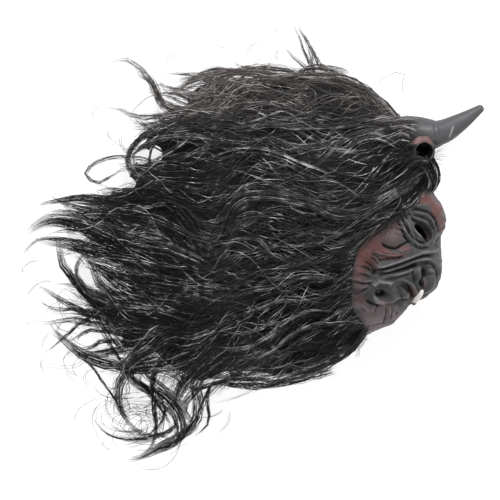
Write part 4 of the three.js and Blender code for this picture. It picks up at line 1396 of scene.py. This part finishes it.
def strand_tree():
    """The node group that grows strands along guides."""
    tree = bpy.data.node_groups.new("grow_strands", "GeometryNodeTree")
    tree.interface.new_socket("Geometry", in_out="OUTPUT", socket_type="NodeSocketGeometry")
    tree.interface.new_socket("Geometry", in_out="INPUT", socket_type="NodeSocketGeometry")
    kinds = {"Strands per guide": "Int", "Seed": "Int", "Finish": "Material"}
    for name in ("Strands per guide", "Spread", "Lift", "Wave", "Wavelength", "Frizz", "Radius", "Trim",
                 "Pale", "Seed", "Finish"):
        kind = "NodeSocket" + kinds.get(name, "Float")
        tree.interface.new_socket(name, in_out="INPUT", socket_type=kind)
    given = tree.nodes.new("NodeGroupInput").outputs
    given = {socket.name: Wire(tree, socket) for socket in given if socket.name}
    build = Wire(tree)

    def named(name, kind="FLOAT"):
        return build.add("GeometryNodeInputNamedAttribute", {"data_type": kind}, {"Name": name})

    def vector(operation, *values, out=0):
        values = dict(enumerate(values))
        return build.add("ShaderNodeVectorMath", {"operation": operation}, values, out=out)

    def scaled(way, size):
        return build.add("ShaderNodeVectorMath", {"operation": "SCALE"}, {0: way, 3: size})

    def swirl(kind, fineness, height, **more):
        """Noise as an offset to either side, at a height in metres."""
        sockets = {"Vector": scaled(place, fineness), "Scale": 1.0, "Detail": 1.0, **more}
        way = build.add("ShaderNodeTexNoise", {"noise_dimensions": kind}, sockets, out=1)
        return scaled(vector("SUBTRACT", way, (0.5, 0.5, 0.5)), height * 2.0)

    curves = build.add("GeometryNodeMeshToCurve", None, {"Mesh": given["Geometry"]})
    curves = build.add("GeometryNodeDuplicateElements", {"domain": "SPLINE"},
                       {"Geometry": curves, "Amount": given["Strands per guide"]})
    copy = Wire(tree, curves.socket.node.outputs[1])
    strand = named("guide") * 64.0 + copy

    def chance(number, low, high):
        sockets = {2: low, 3: high, "ID": strand, "Seed": given["Seed"] + float(number)}
        return build.add("FunctionNodeRandomValue", None, sockets, out=1)

    curves = build.add("GeometryNodeTrimCurve", None,
                       {"Curve": curves, "Start": chance(1, 0.0, 0.25) * given["Trim"],
                        "End": 1.0 - chance(2, 0.0, 0.6) * given["Trim"]})
    place = build.add("GeometryNodeInputPosition")
    out = named("out", "FLOAT_VECTOR")
    side = vector("NORMALIZE", vector("CROSS_PRODUCT", build.add("GeometryNodeInputTangent"), out))
    loose = named("loose")
    shift = vector("ADD", scaled(side, chance(3, -1.0, 1.0) * given["Spread"] * loose),
                   scaled(out, chance(4, 0.0, 1.0) * given["Lift"] * loose))
    fine = given["Wavelength"].math("POWER", -1.0)
    swell = swirl("3D", fine, given["Wave"])
    own = swirl("4D", fine * 2.2, given["Frizz"], W=chance(5, 0.0, 90.0))
    shift = vector("ADD", shift, vector("ADD", swell, own))
    curves = build.add("GeometryNodeSetPosition", None, {"Geometry": curves, "Offset": shift})
    above_table = vector("MAXIMUM", place, (-9.0, -9.0, 0.0008))
    curves = build.add("GeometryNodeSetPosition", None, {"Geometry": curves, "Position": above_table})
    along = build.add("GeometryNodeSplineParameter")
    taper = ((1.0 - along) * 5.0).clamp(0.2, 1.0) * (along * 14.0 + 0.4).clamp(0.4, 1.0)
    size = given["Radius"] * chance(6, 0.6, 1.35) * taper
    sockets = {2: -0.28, 3: 0.28, "ID": named("guide"), "Seed": given["Seed"]}
    shared = build.add("FunctionNodeRandomValue", None, sockets, out=1)
    tint = (chance(7, 0.0, 1.0) + shared).clamp()
    for name, value in (("tint", given["Pale"] + (1.0 - given["Pale"]) * tint), ("along", along)):
        curves = build.add("GeometryNodeStoreNamedAttribute", {"domain": "POINT", "data_type": "FLOAT"},
                           {"Geometry": curves, "Name": name, "Value": value})
    profile = build.add("GeometryNodeCurvePrimitiveCircle", None, {"Resolution": 3, "Radius": 1.0})
    made = build.add("GeometryNodeCurveToMesh", None,
                     {"Curve": curves, "Profile Curve": profile, "Scale": size, "Fill Caps": True})
    made = build.add("GeometryNodeSetShadeSmooth", None, {"Geometry": made, "Shade Smooth": True})
    made = build.add("GeometryNodeRealizeInstances", None, {"Geometry": made})
    made = build.add("GeometryNodeSetMaterial", None, {"Geometry": made, "Material": given["Finish"]})
    tree.links.new(made.socket, tree.nodes.new("NodeGroupOutput").inputs[0])
    return tree


grow_strands = strand_tree()
strand_paint, strand_shader, wires = new_finish("black_hair", {"Specular IOR Level": 0.2})
# Painted sheen: the palest share of the black strands is lightened in dashes as glints, more where the
# sheen values are high
tint = wires.attribute("tint")
crown_side = wires.height()
patches = wires.noise(26.0, 3.0)
glint_dashes = wires.noise(100.0, 2.0).step(0.40, 0.60)
lit = patches.step(0.38, 0.62) * 0.8 + 0.25 + tint.step(0.9, 1.0) * 0.3
lit = lit * wires.attribute("sheen")
dark = tint.step(0.0, 0.78).blend((0.0015, 0.0015, 0.0017, 1), (0.021, 0.0205, 0.021, 1))
light = tint.step(0.78, 1.0) * (0.2 + glint_dashes * 0.8) * lit
light = light.blend((0.0225, 0.022, 0.0225, 1), (0.66, 0.655, 0.66, 1))
tone = tint.step(0.77, 0.79).blend(dark, light)
# The crown side is brownish, with the same painted sheen in dashes
brown = tint.step(0.4, 1.0) * (0.4 + glint_dashes * 0.6) * lit
brown = brown.blend((0.046, 0.038, 0.0355, 1), (0.34, 0.305, 0.29, 1))
tone = ((crown_side + (patches - 0.5) * 0.12).step(0.05, 0.16) * 0.8).blend(tone, brown)
connect(wires, strand_shader, Base_Color=tone, Roughness=0.3 + patches * 0.16)


def grow(name, guides, **settings):
    """Grows strands along guides into one piece of the hair."""
    mesh = bpy.data.meshes.new(name)
    mesh.from_pydata((np.concatenate(guides.points) * MM).tolist(), guides.edges, [])
    for key, values in guides.values.items():
        kind, field = ("FLOAT_VECTOR", "vector") if key == "out" else ("FLOAT", "value")
        target = mesh.attributes.new(key, kind, "POINT").data
        target.foreach_set(field, np.concatenate(values).astype(np.float32).ravel())
    piece = bpy.data.objects.new(name, mesh)
    bpy.context.collection.objects.link(piece)
    modifier = piece.modifiers.new("strands", "NODES")
    modifier.node_group = grow_strands
    for socket in grow_strands.interface.items_tree:
        key = socket.name.lower().replace(" ", "_")
        if key in settings:
            modifier[socket.identifier] = settings[key]
        elif key == "finish":
            modifier[socket.identifier] = strand_paint
    made = bpy.data.meshes.new_from_object(piece.evaluated_get(bpy.context.evaluated_depsgraph_get()))
    piece.modifiers.clear()
    piece.data = made
    bpy.data.meshes.remove(mesh)
    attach(piece, "root")


# Packed layer over the whole mass, sides and back too
SHELL_STEP = 4.0
SHELL_X = np.arange(104, -300, -SHELL_STEP)
SHELL_TURNS = np.linspace(0.02, np.pi - 0.02, 96)
shell_mid = np.interp(SHELL_X, AT_X, (LOW_Y + HIGH_Y) / 2)
shell_mid = np.where(SHELL_X > 20, np.interp(SHELL_X, [20, 60, 104], [0, 60, 60]), shell_mid)
ray = np.arange(2, 300, 2.0)
ray_y = shell_mid[:, None, None] + np.cos(SHELL_TURNS)[None, :, None] * ray
ray_z = np.sin(SHELL_TURNS)[None, :, None] * ray
ray_x = np.broadcast_to(SHELL_X[:, None, None], ray_y.shape)
reach_in = np.abs(ray_z - MID_Z) < on_grid(half_map, ray_x, ray_y)
reach_in |= ray_z < trailing_height(ray_x, ray_y)
shell_reach = softened(np.where(reach_in, ray, 0).max(-1), 3)


def on_shell(x, over):
    """A point on the outside of the hair at station x, at a turn from the +Y side over the top."""
    u = (SHELL_X[0] - x) / SHELL_STEP
    v = (over - SHELL_TURNS[0]) / (SHELL_TURNS[1] - SHELL_TURNS[0])
    reach = between_points(shell_reach, u, v)
    mid = np.interp(-x, -SHELL_X, shell_mid)
    return np.stack([x, mid + np.cos(over) * reach, np.sin(over) * reach], -1)


# The hairline by height Y: how far forward the hair comes, and no limit over the crown
BARE_Y = (-400, -135, -134, -118, -105, -92, -66, -50, -34, -20, -11, -4, 4, 13, 26, 27)
BARE_X = (-60, 0, 19, 18, 7, 4, 4, 7, 12, 20, 32, 46, 56, 66, 80, 400)

PACKED_GUIDES = 390
rng = np.random.default_rng(11)
packed = Guides()
while packed.count < PACKED_GUIDES:
    start = rng.uniform(-235, 104)
    over = rng.uniform(0.03, np.pi - 0.03)
    long = rng.uniform(60, 150)
    stations = np.linspace(start, max(start - long, -296), 11)
    wave = 0.07 * np.sin(stations / rng.uniform(14, 24) + rng.uniform(0, 6))
    wave += rng.uniform(-0.2, 0.2) * np.linspace(0, 1, 11)
    overs = np.clip(over + wave, 0.02, np.pi - 0.02)
    points = on_shell(stations, overs)
    beside = [on_shell(stations, np.clip(overs + turn, 0, np.pi)) for turn in (0.03, -0.03)]
    outs = normed(np.cross(np.gradient(points, axis=0), beside[0] - beside[1]))
    outs *= np.sign((outs * (points - (0, 0, 30))).sum(1, keepdims=True) + 1e-9)
    x, y, z = points.T
    in_tunnel = (y < -140) & (z > 40) & (z < 146) & (x > -100)
    keep = (x <= np.interp(y, BARE_Y, BARE_X) + 2) & ~in_tunnel
    if keep.sum() < 5 or not keep[-1]:
        continue
    first = len(keep) - np.argmin(keep[::-1]) if not keep.all() else 0
    if len(keep) - first < 5:
        continue
    packed.add(points[first:], outs[first:], np.linspace(0.6, 1.1, len(keep) - first))
grow("hair_packed", packed, strands_per_guide=4, spread=0.0065, lift=0.004, wave=0.003, wavelength=0.03,
     frizz=0.0015, radius=0.00042, trim=0.4, seed=3)

# Top layer: locks that follow the guides through the photograph
THINNEST_LOCK = 1.3
locks = Guides()
curls = Guides()
for width, line in LOCKS:
    count = max(6, int(np.linalg.norm(np.diff(line, axis=0), axis=1).sum() / 8))
    line = even_line(line, count)
    points, outs = laid_down(line, 1.5)
    narrow = 1.25 - 0.95 * np.linspace(0, 1, count) ** 1.3
    if width < THINNEST_LOCK:
        curls.add(points, outs, narrow * width, ())
        continue
    if line[-1, 0] < 110 and 190 < line[-1, 1] < 300:
        width = width * 1.35  # the fuller locks that trail to the far left
    for copy in range(max(1, round(width / 1.5))):
        locks.add(points, outs, narrow * width / 4, ())
grow("hair_locks", locks, strands_per_guide=13, spread=0.0058, lift=0.003, wave=0.003, wavelength=0.03,
     frizz=0.0034, radius=0.00028, trim=0.3, seed=7)

# Strands between the locks, traced beside them over the crown, the cheek and the nape
for name, seed, count, box in (
    ("hair_crown", 21, 200, (150, 66, 436, 200)),
    ("hair_cheek", 22, 215, (190, 170, 436, 345)),
    ("hair_nape", 23, 180, (130, 180, 380, 392)),
):
    layer = Guides()
    lines, rng = traced(seed, count, box, (90, 280), 0.45, 15.0)
    for line in lines:
        line = even_line(line, max(6, int(len(line) * 0.95)))
        points, outs = laid_down(line, rng.uniform(0.0, 2.5))
        layer.add(points, outs, np.linspace(0.7, 1.1, len(line)))
    grow(name, layer, strands_per_guide=6, spread=0.0045, lift=0.003, wave=0.004, wavelength=0.03,
         frizz=0.0034, radius=0.00023, trim=0.5, seed=seed)

# Tangled ends on the side away from the face
tips = Guides()
lines, rng = traced(27, 150, (105, 195, 235, 350), (50, 130), 0.7, 12.0)
for line in lines:
    points, outs = laid_down(even_line(line, max(6, len(line))), rng.uniform(0.0, 4.0))
    tips.add(points, outs, np.linspace(0.8, 1.2, len(points)))
grow("hair_tips", tips, strands_per_guide=6, spread=0.007, lift=0.005, wave=0.004, wavelength=0.03,
     frizz=0.0035, radius=0.00023, trim=0.4, seed=27)

# Hair along the face's edge, combed back from it on both sides of the mask
EDGE_STEP = 5.0
edge = Guides()
rng = np.random.default_rng(41)
edge_y = np.concatenate([np.linspace(190, 336, 110), rng.uniform(190, 336, 50)])
edge_x = np.interp(edge_y, FACE_EDGE_Y, FACE_EDGE_X) + rng.uniform(-1, 2.5, len(edge_y))
edge_line = np.stack([edge_x, edge_y], -1)
for start in edge_line:
    line = [start]
    lean = rng.uniform(-0.35, 0.35)
    for k in range(int(rng.integers(5, 11))):
        off = ((line[-1] - field_at) ** 2).sum(-1)
        way = normed((np.exp(-off / 800)[:, None] * field_way).sum(0))
        line.append(line[-1] + EDGE_STEP * turned_by(way, lean))
    points, outs = laid_down(line, 0.0)
    points[:, 2] += np.clip(np.arange(len(points)) * 0.9, 0, 3.5) - 0.5
    edge.add(points, outs, np.linspace(0.4, 1.0, len(points)))
    under = points[: min(len(points), 7)].copy()
    under[:, 2] = np.maximum(2 * MID_Z - under[:, 2], TABLE_CLEAR)
    edge.add(under, outs[: len(under)] * (1, 1, -1), np.linspace(0.4, 1.0, len(under)))
grow("hair_edge", edge, strands_per_guide=3, spread=0.003, lift=0.002, wave=0.0015, wavelength=0.025,
     frizz=0.0015, radius=0.0003, trim=0.4, seed=41)

# Hair that falls over the forehead between the horns, and the lock in front of each ear
BROW_GUIDES = 130
brow = Guides()
for i in range(BROW_GUIDES):
    lean = rng.uniform(-0.25, 0.25)
    start = rng.uniform(-1.3, 1.3)
    steps = np.linspace(0, 1, 10)
    turns = start + lean * steps + 0.04 * np.sin(steps * 9 + i)
    shares = 0.985 - (0.985 - rng.uniform(0.655, 0.70)) * steps
    points = bare_head(shares, turns)
    outs = head_outwards(shares, turns)
    outs[0] = outs[1]
    points = points + outs * (3.0 + 1.5 * np.sin(steps * 3.1) + rng.uniform(-1, 1))[:, None]
    points[:, 2] = np.maximum(points[:, 2] + MID_Z, TABLE_CLEAR)
    brow.add(points, outs, np.linspace(0.6, 1.1, 10))
FORELOCK = [
    [(424, 152), (430, 158), (436, 167), (438.5, 177), (437, 187), (433, 193)],
    [(420, 154), (427, 161), (433, 170), (435, 180), (433, 190)],
    [(418, 158), (424, 166), (429, 175), (431, 184), (429, 191)],
    [(422, 150), (432, 158), (438, 168), (440, 178), (438, 187), (434, 193)],
    [(420, 160), (426, 168), (430, 178), (430, 190)],
    [(424, 158), (430, 168), (435, 180), (434, 192)],
]
FORELOCK_LOOSE = np.array([0.6, 0.8, 0.9, 0.9, 0.8, 0.7, 0.5, 0.3, 0.15])
for side in (1, -1):
    for line in FORELOCK:
        line = even_line(line, 9)
        for depth in (0, 5, 10, 16, 22, 30):
            points = at_height(line - (2, 0), np.linspace(158, 140, 9) - depth, side)
            brow.add(points, np.tile((0.6, 0.0, 0.8 * side), (9, 1)), FORELOCK_LOOSE)
grow("hair_brow", brow, strands_per_guide=4, spread=0.004, lift=0.002, wave=0.002, wavelength=0.03,
     frizz=0.0012, radius=0.0003, trim=0.15, seed=51)

# Hair that leaves the jaw's edge and wraps round the side towards the neck
JAW_GUIDES = 90
JAW_LINE = np.array([
    (22, -121), (12, -139), (-3, -149), (-19, -159), (-46, -170), (-80, -179), (-110, -183),
], float)
jaw = Guides()
for i in range(JAW_GUIDES):
    level = rng.uniform(0.03, 0.95)
    line = even_line(JAW_LINE + rng.uniform(-3, 2, 2), 13)[: int(rng.integers(7, 14))]
    wall = np.interp(line[:, 0], [-110, -40, 0, 25], [150, 172, 168, 150])
    z = np.maximum(level * wall + 4 * np.sin(np.arange(len(line)) * 0.7 + i), 2)
    shut = (z > 38) & (z < 146) & (line[:, 0] < 8)
    keep = len(line) if not shut.any() else int(np.argmax(shut)) + 1
    if keep < 4:
        continue
    points = np.column_stack([line, z])[:keep]
    jaw.add(points, np.tile((0.45, -0.85, 0.25), (keep, 1)), np.linspace(0.6, 1.1, keep))
grow("hair_jaw", jaw, strands_per_guide=5, spread=0.005, lift=0.002, wave=0.003, wavelength=0.03,
     frizz=0.0018, radius=0.00034, trim=0.3, seed=61)

# Waves that catch the light: guides in the bundle, how widely it spreads, and its line
WAVES = [
    (8, 4.0, [(410, 182), (396, 192), (380, 203), (364, 211), (350, 214), (339, 215), (326, 211),
               (312, 204), (298, 201), (281, 197), (264, 195), (248, 196), (236, 202), (227, 214),
               (223, 226), (218, 239), (210, 252), (197, 265)]),
    (3, 2.5, [(300, 199), (270, 195), (250, 194), (238, 199), (229, 210), (225, 224), (219, 240),
              (208, 256), (190, 270)]),
    (4, 3.5, [(400, 146), (392, 138), (384, 133), (371, 130), (356, 133), (343, 139), (331, 151),
               (318, 164), (304, 172)]),
    (2, 2.5, [(404, 152), (390, 142), (372, 136), (356, 142), (342, 154), (330, 164)]),
    (2, 3.0, [(372, 122), (350, 126), (323, 129), (309, 129), (296, 130), (270, 127), (245, 131),
              (220, 128)]),
    (2, 3.0, [(350, 133), (334, 140), (323, 146), (306, 148), (290, 146), (268, 141), (250, 146),
              (230, 152)]),
    (3, 3.5, [(335, 183), (322, 175), (306, 168), (290, 161), (273, 155), (250, 151), (225, 155),
              (200, 168)]),
    (3, 3.0, [(428, 164), (420, 177), (407, 189), (391, 199), (374, 209), (358, 220), (343, 231),
              (325, 240), (300, 246)]),
    (3, 4.0, [(422, 162), (408, 178), (392, 189), (372, 197), (350, 196), (330, 189), (312, 184)]),
    (3, 4.0, [(334, 311), (318, 311), (306, 312), (290, 319), (271, 334), (253, 346), (229, 349),
              (208, 346), (188, 352)]),
    (3, 4.5, [(360, 326), (345, 325), (334, 326), (313, 328), (297, 336), (278, 351), (259, 363),
              (243, 374), (222, 380)]),
    (2, 3.0, [(352, 352), (341, 359), (320, 366), (299, 368), (281, 364), (262, 370)]),
    (3, 5.0, [(352, 346), (335, 352), (318, 358), (300, 362), (282, 368), (262, 376)]),
    (4, 6.0, [(364, 330), (350, 343), (336, 354), (318, 363), (298, 370), (272, 376)]),
    (2, 3.5, [(362, 335), (346, 354), (327, 367), (306, 375), (278, 380), (250, 385), (229, 384),
              (203, 382)]),
    (2, 5.0, [(290, 263), (276, 257), (265, 247), (256, 240), (240, 241), (223, 247), (205, 256),
              (185, 262)]),
    (2, 3.5, [(350, 256), (330, 255), (310, 262), (290, 270), (262, 272), (240, 284), (215, 300),
              (190, 318)]),
    (2, 3.5, [(346, 290), (325, 296), (305, 300), (280, 300), (255, 310), (230, 318), (205, 335)]),
    (2, 3.0, [(345, 270), (325, 276), (300, 276), (275, 286), (250, 290), (225, 300), (200, 306),
              (175, 316)]),
    (2, 4.0, [(171, 316), (154, 306), (138, 292), (122, 281), (108, 272), (94, 262)]),
    (2, 4.0, [(230, 226), (205, 222), (185, 205), (165, 198), (140, 196), (115, 200)]),
    (2, 4.0, [(215, 245), (190, 238), (165, 226), (140, 219), (115, 215), (90, 214)]),
    (2, 4.0, [(205, 262), (178, 250), (150, 241), (120, 232), (92, 224), (66, 220)]),
    (2, 4.0, [(260, 205), (245, 216), (232, 235), (225, 250), (212, 268), (190, 282), (165, 292)]),
]
waves = Guides()
for number, spread, line in WAVES:
    count = max(8, int(np.linalg.norm(np.diff(line, axis=0), axis=1).sum() / 7))
    points, outs = laid_down(even_line(line, count), 7.0)
    for copy in range(number):
        waves.add(points, outs, np.full(count, spread / 4))
grow("hair_waves", waves, strands_per_guide=4, spread=0.0055, lift=0.002, wave=0.001, wavelength=0.03,
     frizz=0.0018, radius=0.00027, trim=0.8, pale=0.6, seed=81)

# Ends of the strands glued along the face's edge, which catch the light
ticks = Guides()
rng = np.random.default_rng(83)
for y in np.concatenate([np.linspace(246, 304, 40), np.linspace(318, 334, 8)]):
    start = np.array([np.interp(y, FACE_EDGE_Y, FACE_EDGE_X) + rng.uniform(-3, 1), y])
    reach = (-rng.uniform(5, 12), rng.uniform(-1, 6))
    points, outs = laid_down(start + np.outer(np.linspace(0, 1, 5), reach), 3.5)
    ticks.add(points, outs, np.ones(5))
grow("hair_ticks", ticks, strands_per_guide=2, spread=0.0015, lift=0.001, wave=0.001, wavelength=0.02,
     frizz=0.0015, radius=0.00022, trim=0.3, pale=0.66, seed=83)

# Hair over the root of each horn and round the ear, at given heights above the middle plane
ROOTS = [
    ([(421, 126), (410, 122), (398, 122), (386, 125), (368, 128)], (84, 78)),
    ([(417, 122), (406, 120), (394, 121), (380, 123), (362, 127)], (80, 76)),
    ([(419, 131), (405, 128), (392, 130), (376, 138)], (85, 80)),
    ([(414, 138), (400, 136), (388, 140), (370, 150)], (84, 82)),
    ([(409, 126), (396, 121), (384, 119), (368, 118)], (82, 74)),
    ([(419, 143), (409, 143), (399, 147), (384, 154)], (82, 86)),
    ([(414, 150), (405, 150), (394, 154), (376, 160)], (74, 88)),
    ([(416, 158), (407, 158), (396, 162), (378, 170)], (72, 90)),
    ([(424, 164), (415, 166), (404, 176), (388, 190)], (72, 90)),
    ([(428, 163), (421, 170), (410, 182), (396, 196)], (70, 88)),
    ([(416, 139), (411, 146), (405, 152), (392, 160)], (93, 88)),
    ([(418, 158), (412, 156), (404, 160), (390, 170)], (93, 88)),
    ([(429, 163), (421, 161), (411, 164), (398, 176)], (92, 88)),
]
roots = Guides()
for side in (1, -1):
    for line, (first, last) in ROOTS:
        line = even_line(line, 9)
        points = at_height(line, MID_Z + np.linspace(first, last, 9), side)
        for copy in range(2):
            roots.add(points, np.tile((0, 0.1, side), (9, 1)), np.linspace(0.8, 1.2, 9))
grow("hair_roots", roots, strands_per_guide=12, spread=0.0055, lift=0.002, wave=0.004, wavelength=0.02,
     frizz=0.003, radius=0.00022, trim=0.9, pale=0.0, seed=91)

# Thin tangled curls that lie on the table past the ends of the locks
rng = np.random.default_rng(101)
CURL_PLACES = [
    # centre and reach in the photograph's pixels, number of curls
    ((150, 408), (20, 18), 150),
    ((95, 330), (26, 26), 50),
    ((90, 250), (26, 26), 30),
    ((132, 290), (22, 22), 40),
    ((165, 130), (22, 24), 40),
    ((245, 108), (50, 26), 110),
    ((215, 290), (30, 40), 40),
]
for centre, reach, count in CURL_PLACES:
    for i in range(count):
        middle = rng.normal(centre, reach)
        radius = rng.uniform(8, 30)
        turned = rng.uniform(0, 6.3) + np.linspace(0, rng.uniform(0.9, 2.8), 10)
        line = middle + radius * np.stack([np.cos(turned), np.sin(turned) * rng.uniform(0.5, 1)], -1)
        points, outs = laid_down(line, rng.uniform(1, 7))
        if points[:, 1].min() > -276:
            curls.add(points, outs, np.ones(10))
# Short hairs that stand out in front of the ear
EAR_HAIRS = ((449, 147), (451, 156), (446, 166), (441, 139), (444, 151), (448, 161))
for end in EAR_HAIRS:
    line = np.linspace((425, 156), end, 8)
    for side in (1, -1):
        points = at_height(line, np.linspace(164, 172, 8), side)
        curls.add(points, np.tile((0, 0, 1.0), (8, 1)), np.linspace(0.3, 1, 8))
grow("hair_curls", curls, strands_per_guide=2, spread=0.002, lift=0.003, wave=0.004, wavelength=0.035,
     frizz=0.0018, radius=0.00022, trim=0.4, seed=101)

# Single hairs that lie loosely over everything, painted pale as glints
loose_hairs = Guides()
lines, rng = traced(71, 240, (150, 62, 432, 388), (40, 170), 0.7)
for line in lines:
    line = even_line(line, max(6, int(len(line) * 1.5)))
    points, outs = laid_down(line, rng.uniform(2.5, 6.0))
    loose_hairs.add(points, outs, np.ones(len(line)))
grow("hair_loose", loose_hairs, strands_per_guide=1, spread=0.002, lift=0.002, wave=0.004, wavelength=0.022,
     frizz=0.004, radius=0.00024, trim=0.3, pale=0.75, seed=71)
